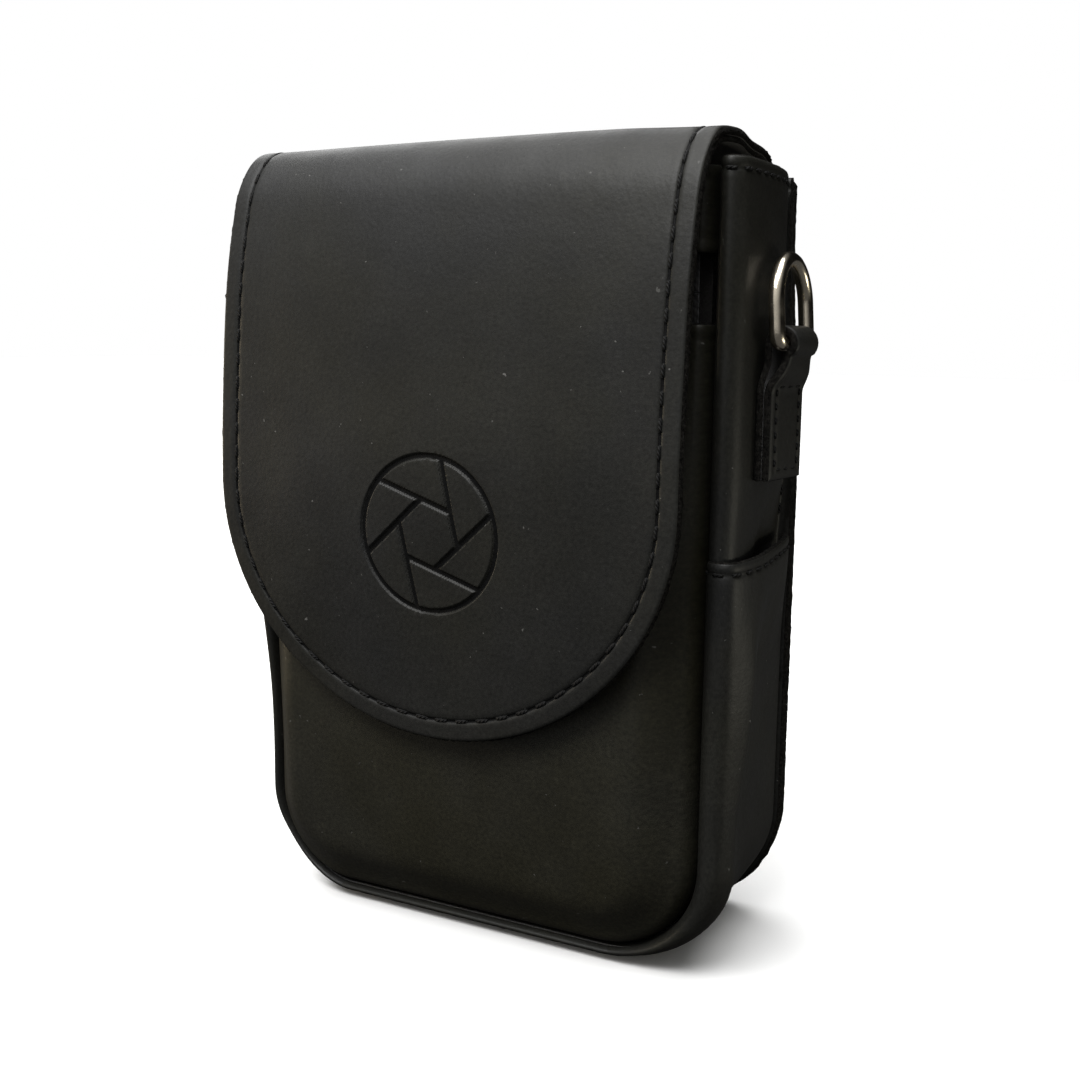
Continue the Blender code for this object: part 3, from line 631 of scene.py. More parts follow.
flap_curve = catmull(FLAP_LINE, FLAP_STEPS)
flap_length = lengths(flap_curve)
flap_ahead = unit(np.gradient(flap_curve, flap_length, axis=0))
flap_out = np.stack([flap_ahead[:, 1], -flap_ahead[:, 0]], axis=1)


def flap_s(z):
    """Distance along the flap line where its front reaches height z."""
    front = flap_curve[:, 0] < -28
    return float(np.interp(-z, -flap_curve[front, 1], flap_length[front]))


def flap_top_s(y):
    """Distance along the flap line where its top reaches depth y."""
    top = slice(FLAP_STEPS, 7 * FLAP_STEPS)
    return float(np.interp(-y, -flap_curve[top, 0], flap_length[top]))


S_ROUND, S_TIP = flap_s(ROUND_START_Z), float(flap_length[-1])
S_NECK_CUT = float(flap_length[NECK_CUT])
S_TOP_CUT = flap_top_s(-5.0)
S_LINING = 3.6                      # where the flap's lining starts on the back panel


def flap_half(s):
    """Half width of the flap at distance s along it, before its round end."""
    y = np.interp(s, flap_length, flap_curve[:, 0])
    return FLAP_HALF + (NECK_HALF - FLAP_HALF) * smooth_step(y, *TAPER)


def flap_surface(s, x, h):
    """Place on the flap, at height h over its line: its front is crowned and not quite even."""
    inside = np.clip(s, 0.0, S_TIP)
    y = np.interp(inside, flap_length, flap_curve[:, 0])
    z = np.interp(inside, flap_length, flap_curve[:, 1])
    oy = np.interp(inside, flap_length, flap_out[:, 0])
    oz = np.interp(inside, flap_length, flap_out[:, 1])
    beyond = s - inside
    y = y + beyond * np.where(s > S_TIP, flap_ahead[-1, 0], flap_ahead[0, 0])
    z = z + beyond * np.where(s > S_TIP, flap_ahead[-1, 1], flap_ahead[0, 1])
    front = smooth_step(s, 20.0, 75.0)
    crown = 0.9 * (1 - (x / FLAP_HALF) ** 2) * front
    wave = 0.28 * np.sin(s / 17.0 + 0.6) * np.cos(x / 23.0 + 0.4) * front
    wave = wave + 0.22 * np.sin(s / 9.0 + x / 31.0) * smooth_step(s, 40.0, 60.0) * front
    lift = h + (crown + wave) * smooth_step(FLAP_HALF - np.abs(x), 0.0, 22.0)
    return np.stack([x, y + oy * lift, z + oz * lift], axis=1)


def flap_outline(start, inset):
    """The flap's edge on the flat cut, inset, from the right of the neck round to the left."""
    sides = np.arange(start, S_ROUND, 0.7)
    half = flap_half(sides) - inset
    right = np.stack([sides, half], axis=1)
    across, down = FLAP_HALF - inset, S_TIP - S_ROUND - inset
    angles = np.linspace(0.0, math.pi, 220)
    end = np.stack([S_ROUND + down * np.sin(angles), across * np.cos(angles)], axis=1)
    left = right[::-1] * np.array([1, -1])
    return np.vstack([right, end, left])


def line_distance(points, line):
    """Distance from each point to a polyline."""
    best = np.full(len(points), 1e9)
    for p, q in zip(line[:-1], line[1:]):
        d = q - p
        t = np.clip(((points - p) @ d) / max(d @ d, 1e-9), 0, 1)
        best = np.minimum(best, np.hypot(*(points - p - t[:, None] * d).T))
    return best


def outline_distance(points, outline):
    """Distance to the flap's outline, which has more points than this needs."""
    return line_distance(points, outline[::3])


MOTIF_S, MOTIF_X, MOTIF_RADIUS = flap_s(87.5), 0.4, 15.5
MOTIF_STEP = 0.2                    # distance between points of the fine mesh round the motif
MOTIF_BLADES, MOTIF_TURN, MOTIF_OPENING = 6, 12, 0.46


def motif_distance(s, x):
    """Distance to the lines of a plain six-blade iris: a ring and six chords."""
    ds, dx = s - MOTIF_S, x - MOTIF_X
    radius = np.hypot(ds, dx)
    best = np.abs(radius - MOTIF_RADIUS)
    inner = MOTIF_RADIUS * MOTIF_OPENING
    for k in range(MOTIF_BLADES):
        turn = 360 // MOTIF_BLADES * k + MOTIF_TURN
        a, b = math.radians(turn), math.radians(turn + 120)
        corner = np.array([math.cos(a), math.sin(a)]) * inner
        ahead = np.array([math.cos(b), math.sin(b)])
        reach = -corner @ ahead + math.sqrt((corner @ ahead) ** 2 + MOTIF_RADIUS ** 2 - inner ** 2)
        t = np.clip(ds * ahead[0] + dx * ahead[1] - corner @ ahead, 0.0, reach)
        best = np.minimum(best, np.hypot(ds - corner[0] - ahead[0] * t,
                                         dx - corner[1] - ahead[1] * t))
    return best


def flap_mesh(start, trim, rings, spacing, fine_motif):
    """Places and triangles of the flap's flat cut, with lines where it is cut in segments."""
    cuts = [s for s in (S_NECK_CUT, S_TOP_CUT) if s > start]
    border = flap_outline(start, trim)
    inside = [flap_outline(start, trim + ring)[3:-3] for ring in rings]
    last = rings[-1]
    for s in cuts + [start]:
        half = float(flap_half(s)) - trim
        across = np.concatenate([half - np.array(rings), np.arange(0, half - last - 1, spacing)])
        across = np.unique(np.round(np.concatenate([across, -across]), 3))
        if s == start:
            front_line = np.stack([np.full(len(across), s), across], axis=1)
        else:
            ends = np.array([-half, half])
            across = np.unique(np.concatenate([across, ends]))
            inside.append(np.stack([np.full(len(across), s), across], axis=1))
    loose = grid_places(np.arange(start + spacing, S_TIP, spacing),
                        np.arange(-FLAP_HALF, FLAP_HALF, spacing))
    loose = loose[outline_distance(loose, border) > last + spacing * 0.5]
    keep = np.abs(loose[:, 1]) < flap_half(loose[:, 0]) - trim - last
    drop = np.clip((loose[:, 0] - S_ROUND) / (S_TIP - S_ROUND), 0, 1)
    keep &= np.abs(loose[:, 1]) < FLAP_HALF * np.sqrt(1 - drop ** 2) - last
    for s in cuts:
        keep &= np.abs(loose[:, 0] - s) > spacing * 0.45
    if fine_motif:
        keep &= np.hypot(loose[:, 0] - MOTIF_S, loose[:, 1] - MOTIF_X) > MOTIF_RADIUS + 2.6
    loose = loose[keep]
    parts = [border, front_line] + inside + [loose]
    if fine_motif:
        reach = int((MOTIF_RADIUS + 2.2) / MOTIF_STEP)
        steps = np.arange(-reach, reach + 1)
        down, across = grid_places(steps, steps).T
        near = np.hypot(down, across) <= reach
        down, across = down[near], across[near]
        dense = np.stack([MOTIF_S + down * MOTIF_STEP, MOTIF_X + across * MOTIF_STEP], axis=1)
        coarse = (down % 5 == 0) & (across % 5 == 0)
        parts.append(dense[(motif_distance(dense[:, 0], dense[:, 1]) < 1.0) | coarse])
    points = np.vstack(parts)
    for s in cuts:
        far = np.abs(points[:, 0] - s) > 0.25
        on = np.abs(points[:, 0] - s) < 1e-6
        far[:len(border)] = True
        points = points[far | on]
    count = len(border)
    loop = [(i, i + 1) for i in range(count - 1)]
    chain = [count - 1] + [count + i for i in np.argsort(front_line[:, 1])] + [0]
    loop += list(zip(chain, chain[1:]))
    for s in cuts:
        on = np.where(np.abs(points[:, 0] - s) < 1e-6)[0]
        on = on[np.argsort(points[on, 1])]
        loop += list(zip(on, on[1:]))
    return triangulate(points, loop)


def split_flap(flat, faces, start):
    """The faces of each segment: neck, top and front."""
    middle = np.array([flat[list(f), 0].mean() for f in faces])
    limits = [start - 1, S_NECK_CUT, S_TOP_CUT, 1e9]
    parts = []
    for low, high in zip(limits, limits[1:]):
        chosen = [f for f, m in zip(faces, middle) if low < m <= high]
        used = np.unique(np.array(chosen).ravel())
        index = {int(old): new for new, old in enumerate(used)}
        parts.append((used, [tuple(index[i] for i in f) for f in chosen]))
    return parts


def at_cut(start):
    """A test for places where the flap's leather goes on in the next piece."""
    def test(s, x):
        lines = (start, S_NECK_CUT, S_TOP_CUT)
        return np.min([np.abs(s - line) for line in lines], axis=0) < 1e-4
    return test


NECK_WAY = np.array([0.0, *flap_ahead[NECK_CUT]])


def bend_flap(item, segment):
    """Bakes a piece of the flap's transform into its mesh, the same for every segment."""
    if segment == 0:
        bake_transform(item)
    elif segment == 1:
        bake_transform(item)
    else:
        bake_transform(item)


def place_flap_piece(item, segment, kind):
    """Puts an outer or lining piece of the flap in place of its CAD nodes."""
    bend_flap(item, segment)
    if segment == 1:
        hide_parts("flap_neck_" + kind, "flap_top_" + kind)
    elif segment == 2:
        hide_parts("flap_front_" + kind)


def flap_relief(flat, border):
    """Rounded edge, a channel under the stitches and the pressed motif."""
    distance = outline_distance(flat, border)
    height = -rounded(distance, 0.28, 0.5) - channel(distance, STITCH_INSET, 0.42, 0.42)
    pressed = 0.75 - motif_distance(flat[:, 0], flat[:, 1])
    height -= 0.50 * smooth_step(pressed, 0.0, 0.35)
    return height


def make_flap():
    rings = [0.15, 0.35, 0.7, 1.5, 2.6, 3.2, 3.5, 3.7, 3.9, 4.1, 4.3, 4.5, 4.8, 5.6]
    flat, faces = flap_mesh(0.0, 0.0, rings, 2.0, True)
    border = flap_outline(-20.0, 0.0)
    height = flap_relief(flat, border)

    # Faces in the stitch channel and in the motif's lines get the near-black groove material: painted
    # shade.
    def gets_groove_shade(middles):
        sewn = np.abs(outline_distance(middles, border) - STITCH_INSET) < 0.27
        sewn &= middles[:, 0] > 6.0
        return sewn | (motif_distance(middles[:, 0], middles[:, 1]) < 0.42)

    for segment, (used, part) in enumerate(split_flap(flat, faces, 0.0)):
        item = leather("flap_leather_" + SEGMENTS[segment], flat[used], part, flap_surface,
                       FLAP_LEATHER, height[used], is_cut=at_cut(0.0), rough=0.11, wall_rows=5,
                       gets_groove_shade=gets_groove_shade)
        place_flap_piece(item, segment, "outer")


FLAP_MAGNET_Z, FLAP_MAGNET_HOLE = 63.0, 7.6   # the lining leaves this radius open round its magnet
FLAP_STITCH_START = 6.5


def make_flap_lining():
    rings = [0.5, 1.5, 3.0]
    flat, faces = flap_mesh(S_LINING, 0.25, rings, 2.6, False)
    keep = np.hypot(flat[:, 0] - flap_s(FLAP_MAGNET_Z), flat[:, 1]) > FLAP_MAGNET_HOLE
    used_faces = [f for f in faces if keep[list(f)].any()]
    depth = FLAP_LEATHER + LAYER_GAP

    def surface(s, x, h):
        return flap_surface(s, x, h - depth)

    for segment, (used, part) in enumerate(split_flap(flat, used_faces, S_LINING)):
        item = leather("flap_lining_" + SEGMENTS[segment], flat[used], part, surface, LINING,
                       materials=(LEATHER, EDGE, SUEDE), is_cut=at_cut(S_LINING), bulge=0.22,
                       rough=0.08)
        place_flap_piece(item, segment, "lining")


def make_flap_stitches():
    route = flap_outline(FLAP_STITCH_START, STITCH_INSET)
    limits = (FLAP_STITCH_START, S_NECK_CUT, S_TOP_CUT, S_TIP)
    for segment, name in enumerate(SEGMENTS):
        inside = (route[:, 0] >= limits[segment]) & (route[:, 0] <= limits[segment + 1])
        runs = {"_right": route[inside & (route[:, 1] > 0)], "_left": route[inside & (route[:, 1] < 0)]}
        if name == "front":
            runs = {"": route[inside]}
        for side, run in runs.items():
            item = stitches(f"flap_stitches_{name}{side}", flap_surface, run, lift=-0.20, thread=0.85)
            bend_flap(item, segment)


# ---------------------------------------------------------------- gusset and side pockets

SEAM_CORNER = 24.0                  # radius that the seam's length round a corner is taken from
SIDE_LENGTH = CASE_TOP - SEAM_HEIGHT - FRONT_RADIUS
CORNER_LENGTH = math.pi / 2 * SEAM_CORNER
FLOOR_LENGTH = FRONT_HALF - FRONT_RADIUS
HALF_LENGTH = SIDE_LENGTH + CORNER_LENGTH + FLOOR_LENGTH


def seam_line(half, radius, bottom, along):
    """Place and outward normal on the right half of a seam line, along it from its top."""
    turn = np.clip((along - SIDE_LENGTH) / CORNER_LENGTH, 0, 1)
    drop = np.minimum(along, SIDE_LENGTH) / SIDE_LENGTH
    floor = np.clip((along - SIDE_LENGTH - CORNER_LENGTH) / FLOOR_LENGTH, 0, None)
    angle = -turn * math.pi / 2
    x = half - radius + radius * np.cos(angle) - (half - radius) * floor
    z = bottom + radius + radius * np.sin(angle) + (CASE_TOP - bottom - radius) * (1 - drop)
    return x, z, np.cos(angle), np.sin(angle)


SECTION_STEPS = 10                  # chords for each span of a section
gusset_tables = [catmull(table, SECTION_STEPS)
                 for table in (SIDE_UPPER, SIDE_LOWER, SIDE_BASE, BOTTOM_SECTION)]
pocket_tables = [catmull(table, SECTION_STEPS)
                 for table in (POCKET_MOUTH, POCKET_MIDDLE, POCKET_BASE, POCKET_FLOOR)]
gusset_length = lengths(gusset_tables[0]) - lengths(gusset_tables[0])[SECTION_STEPS]
pocket_length = lengths(pocket_tables[0])
SECTION_END = float(gusset_length[14 * SECTION_STEPS])
POCKET_WIDTH = float(pocket_length[12 * SECTION_STEPS])
POCKET_LEATHER = 1.3
SLIM_LEFT, TUCK_LEFT = 0.55, 1.0    # the left side is slimmer near its base, by a share and by mm
POCKET_SINK = 1.5                   # the gusset lies this much lower under a pocket


def from_top(along):
    """Distance from the nearer top end of the gusset, which runs from right top to left top."""
    return np.where(along <= HALF_LENGTH, along, 2 * HALF_LENGTH - along)


def section(half_along, v, tables, spots, upper):
    """Depth and height of a section at distance v along it, and how far it is round the corner.

    The first table holds above the heights called upper, the next two follow below it, and the
    last holds under the case."""
    z = CASE_TOP - half_along
    turn = smooth_step(half_along, SIDE_LENGTH, SIDE_LENGTH + CORNER_LENGTH)
    rise, hollow = smooth_step(z, *upper), smooth_step(z, *HOLLOW)
    weights = (rise * (1 - turn), (1 - rise) * hollow * (1 - turn),
               (1 - rise) * (1 - hollow) * (1 - turn), turn)
    y, out = np.zeros(len(v)), np.zeros(len(v))
    for table, weight in zip(tables, weights):
        y += weight * np.interp(v, spots, table[:, 0])
        out += weight * np.interp(v, spots, table[:, 1])
    return y, out, turn


def back_spread(z):
    """How much the back and its flange stand out beyond their drawn width, less at the top."""
    return 0.6 - 2.5 * smooth_step(z, 92.0, 152.0)


def settle(points):
    """The left side has settled inwards towards the base."""
    low = smooth_step(-points[:, 0], 10.0, 50.0) * smooth_step(78.0 - points[:, 2], 0.0, 48.0)
    low *= smooth_step(points[:, 2], -12.0, 6.0)
    return points + low[:, None] * np.array([1.7, 0.0, 0.0])


def seam_place(along, y, out):
    """Place at distance out outside the seam lines."""
    right, half_along = along <= HALF_LENGTH, from_top(along)
    slim = smooth_step(104.0 - (CASE_TOP - half_along), 0.0, 62.0)
    corner = smooth_step(half_along, SIDE_LENGTH + CORNER_LENGTH * 0.3, SIDE_LENGTH + CORNER_LENGTH)
    slim = np.where(right, 0.0, slim * (1 - corner))
    out = out * (1 - SLIM_LEFT * slim) - TUCK_LEFT * slim
    y = y + slim * smooth_step(-y, 12.0, 21.0)
    fx, fz, nx, nz = seam_line(FRONT_HALF, FRONT_RADIUS, SEAM_HEIGHT, half_along)
    bx, bz, _, _ = seam_line(BACK_HALF - FLANGE, BACK_RADIUS - FLANGE, FLANGE, half_along)
    bx = bx + back_spread(bz) * smooth_step(bx, 20.0, 45.0)
    depth = np.clip((y - FRONT_Y) / (FLANGE_Y - FRONT_Y), 0, 1)
    x = fx + (bx - fx) * depth + nx * out
    z = fz + (bz - fz) * depth + nz * out
    return settle(np.stack([np.where(right, x, -x), y, z], axis=1))


def gusset_base(along, v):
    """Place on the gusset: v runs across it from the front seam to the rear flange."""
    y, out, turn = section(from_top(along), v, gusset_tables, gusset_length, SINK)
    middle = np.exp(-((y + 3) / 11.0) ** 2)
    out = out + 0.35 * np.sin(along / 13.0 + 1.2) * middle * (1 - turn)
    return seam_place(along, y, out)


gusset_surface = offset_surface(gusset_base)


REAR_STITCH = 1.6                   # from the gusset's rear edge to its stitches
HEM = 2.1                           # from a hem's edge to its stitches
HEM_ROWS = np.array([0.0, 0.3, 0.8, 1.3, 1.7, 2.1, 2.5, 3.0, 4.0])
HEM_STITCH = {"pitch": 4.2, "length": 3.1, "lift": 0.0}
POCKET_FOOT = SIDE_LENGTH + CORNER_LENGTH * 0.93   # where a pocket ends round the bottom corner
POCKET_TO_GUSSET = (SECTION_END - 2.6) / POCKET_WIDTH


def make_gusset():
    steps = np.concatenate([HEM_ROWS, np.arange(5.5, HALF_LENGTH, 1.7)])
    along = np.concatenate([steps, 2 * HALF_LENGTH - steps[::-1]])
    fine = np.concatenate([np.arange(0, 12, 0.6), np.arange(12, SECTION_END - 8, 1.5),
                           np.linspace(SECTION_END - 8, SECTION_END, 14)])
    flat, faces = grid(along, fine)
    end = from_top(flat[:, 0])
    rear = SECTION_END - flat[:, 1]
    relief = -rounded(end) - channel(end, HEM, 0.28, 0.45) - channel(rear, REAR_STITCH, 0.22, 0.5)
    below = smooth_step(end, CASE_TOP - POCKET_TOP + 1.0, CASE_TOP - POCKET_TOP + 3.0)
    below *= 1 - smooth_step(end, POCKET_FOOT - 3.0, POCKET_FOOT - 1.0)
    relief -= POCKET_SINK * below * smooth_step(rear, 3.0, 6.0)
    item = leather("gusset_leather", flat, faces, gusset_surface, BODY_LEATHER, relief)
    place_piece(item, "case", "leather", "gusset")
    last = CASE_TOP - POCKET_TOP - 3.0
    for side, sign in SIDES:
        hem, first, end = (p if sign > 0 else 2 * HALF_LENGTH - p for p in (HEM, 5.0, last))
        stitch_row("gusset_hem_stitches_" + side, gusset_surface, (hem, 5.0),
                   (hem, SECTION_END - 4.0), 60, **HEM_STITCH)
        stitch_row("gusset_rear_stitches_" + side, gusset_surface,
                   (first, SECTION_END - REAR_STITCH), (end, SECTION_END - REAR_STITCH), 90,
                   **HEM_STITCH)


def pocket_base(along, v):
    """Place on a side pocket: sewn into the front seam, it wraps the rim and runs to the back.

    Round the bottom corner it thins out until it lies in the gusset's own surface."""
    half_along = from_top(along)
    y, out, _ = section(half_along, v, pocket_tables, pocket_length, MOUTH)
    merged = smooth_step(half_along, SIDE_LENGTH + CORNER_LENGTH * 0.05, POCKET_FOOT - 3.0)[:, None]
    own = seam_place(along, y, out)
    return own * (1 - merged) + gusset_base(along, v * POCKET_TO_GUSSET) * merged


def make_pockets():
    top = CASE_TOP - POCKET_TOP
    steps = np.concatenate([top + HEM_ROWS, np.arange(top + 5.5, POCKET_FOOT - 1, 1.7),
                            [POCKET_FOOT]])
    fine = np.concatenate([np.arange(0, 14, 0.6), np.arange(14, POCKET_WIDTH - 6, 1.2),
                           np.linspace(POCKET_WIDTH - 6, POCKET_WIDTH, 8)])
    flat, faces = grid(steps, fine)
    distance = flat[:, 0] - top
    relief = -rounded(distance) - channel(distance, HEM, 0.28, 0.45)
    for side, sign in SIDES:
        def base(along, v, sign=sign):
            return pocket_base(along if sign > 0 else 2 * HALF_LENGTH - along, v)
        surface = offset_surface(base, mirror=sign < 0)
        item = leather_twin("side_pocket_leather_" + side, flat, faces, surface, POCKET_LEATHER,
                            relief, sign)
        place_piece(item, "case", "leather", "side_pocket_" + side)
        stitch_row("pocket_hem_stitches_" + side, surface, (top + HEM, 1.5),
                   (top + HEM, POCKET_WIDTH - 1.5), 40, **HEM_STITCH)


# ---------------------------------------------------------------- front

belly_line = catmull(BELLY, 12)


def belly(z):
    """How far the front panel stands out at height z."""
    return np.interp(z, belly_line[:, 0], belly_line[:, 1])


PANEL_HALF, PANEL_BOTTOM, PANEL_RADIUS = FRONT_HALF - 0.3, SEAM_HEIGHT + 0.3, FRONT_RADIUS - 0.3


def front_inside(x, z):
    """Distance inwards from the front seam line."""
    dx, dz = np.abs(x) - (PANEL_HALF - PANEL_RADIUS), (PANEL_BOTTOM + PANEL_RADIUS) - z
    straight = np.minimum(PANEL_HALF - np.abs(x), z - PANEL_BOTTOM)
    return np.where((dx > 0) & (dz > 0), PANEL_RADIUS - np.hypot(dx, dz), straight)


def front_width(z):
    """Half width of the front panel at height z."""
    drop = np.clip(PANEL_BOTTOM + PANEL_RADIUS - z, 0, PANEL_RADIUS)
    return PANEL_HALF - PANEL_RADIUS + np.sqrt(PANEL_RADIUS ** 2 - drop ** 2)


def front_base(x, z):
    """Place on the front panel: its edge rolls over, then it bulges towards its middle."""
    inside = np.clip(front_inside(x, z), 0, None)
    near = 1 - np.clip(inside / EDGE_ROLL, 0, 1)
    roll = EDGE_DEPTH * np.sqrt(np.clip(1 - near ** 2, 0, 1))
    full = (belly(z) - EDGE_DEPTH) * smooth_step(inside, 0.0, BELLY_RISE)
    wave = 0.25 * np.sin(x / 15.0 + 0.9) * np.sin(z / 19.0) * smooth_step(inside, 2.0, 20.0)
    return settle(np.stack([x, SEAM_Y - roll - full - wave, z], axis=1))


front_surface = offset_surface(front_base)
ZIP_STITCH = 2.6                    # from a raw edge to its stitches


def front_sheet(name, heights, node, edges):
    """A front piece between two heights; edges are the heights of its stitched raw edges."""
    insets = np.concatenate([[0.0, 0.03, 0.1, 0.22, 0.4, 0.65, 1.0, 1.4, 1.9, 2.4, 3.2, 4.4, 6.0],
                             np.arange(8.0, FRONT_HALF - 1, 2.0)])
    flat = []
    for z in heights:
        width = float(front_width(np.array(z)))
        right = width - insets * width / FRONT_HALF
        flat += [(x, z) for x in np.concatenate([-right, [0.0], right[::-1]])]
    flat = np.array(flat)
    faces = grid_faces(len(heights), 2 * len(insets) + 1)
    relief = np.zeros(len(flat))
    for edge in edges:
        distance = np.abs(flat[:, 1] - edge)
        relief -= rounded(distance) + channel(distance, ZIP_STITCH, 0.22, 0.55)
    # The front pieces take the olive leather, whose warm, lighter tone is partly painted sheen.
    item = leather(name, flat, faces, front_surface, BODY_LEATHER, relief,
                   (OLIVE_WARM_LIT_LEATHER, EDGE, SUEDE, GROOVE_SHADE), bulge=0.25)
    place_piece(item, "case", "leather", node)


def make_front():
    rim = np.array([0.0, 0.03, 0.12, 0.3, 0.55, 0.9, 1.4, 2.0, 2.8, 3.8, 5.2])
    hem = np.array([5.0, 4.0, 3.3, 2.6, 1.9, 1.2, 0.7, 0.3, 0.0])
    low = np.concatenate([PANEL_BOTTOM + rim, np.arange(11, 124, 2.0), PANEL_TOP - hem])
    front_sheet("front_panel_leather", low, "front_lower_panel", [PANEL_TOP])
    edges = np.array([0.0, 0.3, 0.7, 1.2, 1.9, 2.6, 3.3, 4.4])
    middle = np.arange(STRIP_BOTTOM + 6, STRIP_TOP - 5, 1.5)
    strip = np.concatenate([STRIP_BOTTOM + edges, middle, STRIP_TOP - edges[::-1]])
    front_sheet("front_strip_leather", strip, "front_upper_strip", [STRIP_BOTTOM, STRIP_TOP])
    for name, z in (("zip_stitches_lower", PANEL_TOP - ZIP_STITCH),
                    ("zip_stitches_upper", STRIP_BOTTOM + ZIP_STITCH),
                    ("strip_top_stitches", STRIP_TOP - ZIP_STITCH)):
        stitch_row(name, front_surface, (-47.0, z), (47.0, z), 90, pitch=3.6, length=2.6,
                   thread=0.6, lift=0.0)


# ---------------------------------------------------------------- zip

def make_zip():
    end, pitch, wire, chords = 0.4, 1.5, 0.30, 12
    half_depth, half_height, from_middle = 0.40, 1.25, 0.95
    middle_y = COIL_BACK - 0.67
    count = int(2 * (ZIP_HALF - end) / pitch)
    angles = np.linspace(0, 2 * math.pi * count, count * chords)
    for name, side, phase in (("zip_coil_upper", 1, 0.0), ("zip_coil_lower", -1, math.pi)):
        x = -ZIP_HALF + end + pitch * angles / (2 * math.pi)
        z = ZIP_Z + side * from_middle + half_height * np.cos(angles + phase)
        y = middle_y + half_depth * np.sin(angles + phase)
        item = tube(name + "_teeth", np.stack([x, y, z], axis=1), wire, NYLON, sides=6)
        place_piece(item, "case", "zip_coil", name)
    for name in ("zip_tape_upper", "zip_tape_lower"):
        low, high = box_mm(name)
        flat, faces = grid(np.linspace(low[0], high[0], 80), np.linspace(low[2], high[2], 14))

        def surface(u, v, h, y=low[1]):
            return np.stack([u, y - h + 0.05 * np.sin(u / 6.0) * np.cos(v / 3.0), v], axis=1)
        item = leather(name + "_cloth", flat, faces, surface, high[1] - low[1] - 0.05,
                       materials=(TAPE,) * 3, bulge=0.05, rough=0.02, wall_rows=2)
        place_piece(item, "case", "zip_tape", name)


# ---------------------------------------------------------------- back and linings

def rounded_outline(half, bottom, radius, top, ear=None, shoulder=None, corner=2.0):
    """Right half of a sheet's outline from the bottom's middle to its top's middle."""
    spacing = 0.9
    floor = np.arange(0.0, half - radius, spacing)
    right = [(x, bottom) for x in floor]
    turns = max(int(radius * math.pi / 2 / spacing), 8)
    right += [(half - radius + radius * math.sin(a), bottom + radius - radius * math.cos(a))
              for a in np.linspace(0, math.pi / 2, turns)]
    right += [(half, z) for z in np.arange(bottom + radius + spacing, top - corner, spacing)]
    right += [(half - corner + corner * math.cos(a), top - corner + corner * math.sin(a))
              for a in np.linspace(0, math.pi / 2, 7)]
    if ear is None:
        right += [(x, top) for x in np.arange(half - corner - spacing, 0.3, -spacing)]
    else:
        right += [(x, top) for x in np.linspace(half - corner, ear, 6)[1:-1]]
        right += [(ear, z) for z in np.arange(top, shoulder, -spacing)]
        right += [(x, shoulder) for x in np.arange(ear, 0.3, -spacing)]
    return np.array(right)


def inset_outline(outline, distance):
    """A closed outline moved inwards, with its points on the inner side of each corner."""
    before, after = np.roll(outline, 1, axis=0), np.roll(outline, -1, axis=0)
    both = unit(outline - before) + unit(after - outline)
    middle = np.stack([-both[:, 1], both[:, 0]], axis=1)
    middle /= np.maximum((middle ** 2).sum(axis=1, keepdims=True) / 2, 0.5)
    return outline + middle * distance


def inside_polygon(points, polygon):
    """Which points lie inside a closed outline."""
    x, y = points[:, 0], points[:, 1]
    inside = np.zeros(len(points), bool)
    for (x0, y0), (x1, y1) in zip(polygon, np.roll(polygon, -1, axis=0)):
        crosses = (y0 > y) != (y1 > y)
        slope = (x1 - x0) / (y1 - y0 if y1 != y0 else 1e-9)
        inside ^= crosses & (x < x0 + (y - y0) * slope)
    return inside


def sheet_mesh(right, rings, spacing):
    """Places and triangles of a symmetric flat sheet, finer along its border."""
    border = np.vstack([right, (right * np.array([-1, 1]))[::-1]])
    border = border[np.concatenate([[True], np.linalg.norm(np.diff(border, axis=0), axis=1) > 0.2])]
    closed = np.vstack([border, border[:1]])
    parts = [border]
    for ring in rings:
        inner = inset_outline(border, ring)
        far = line_distance(inner, closed) > ring * 0.96
        parts.append(inner[far & inside_polygon(inner, border)])
    low, high = border.min(axis=0), border.max(axis=0)
    loose = grid_places(*(np.arange(low[k], high[k], spacing) for k in (0, 1)))
    loose = loose[inside_polygon(loose, border)]
    loose = loose[line_distance(loose, closed) > rings[-1] + spacing * 0.5]
    points = np.vstack(parts + [loose])
    count = len(border)
    flat, faces = triangulate(points, [(i, (i + 1) % count) for i in range(count)])
    return flat, faces, line_distance(flat, closed)


BACK_STITCH = 2.2                   # from the back panel's edge to its stitches


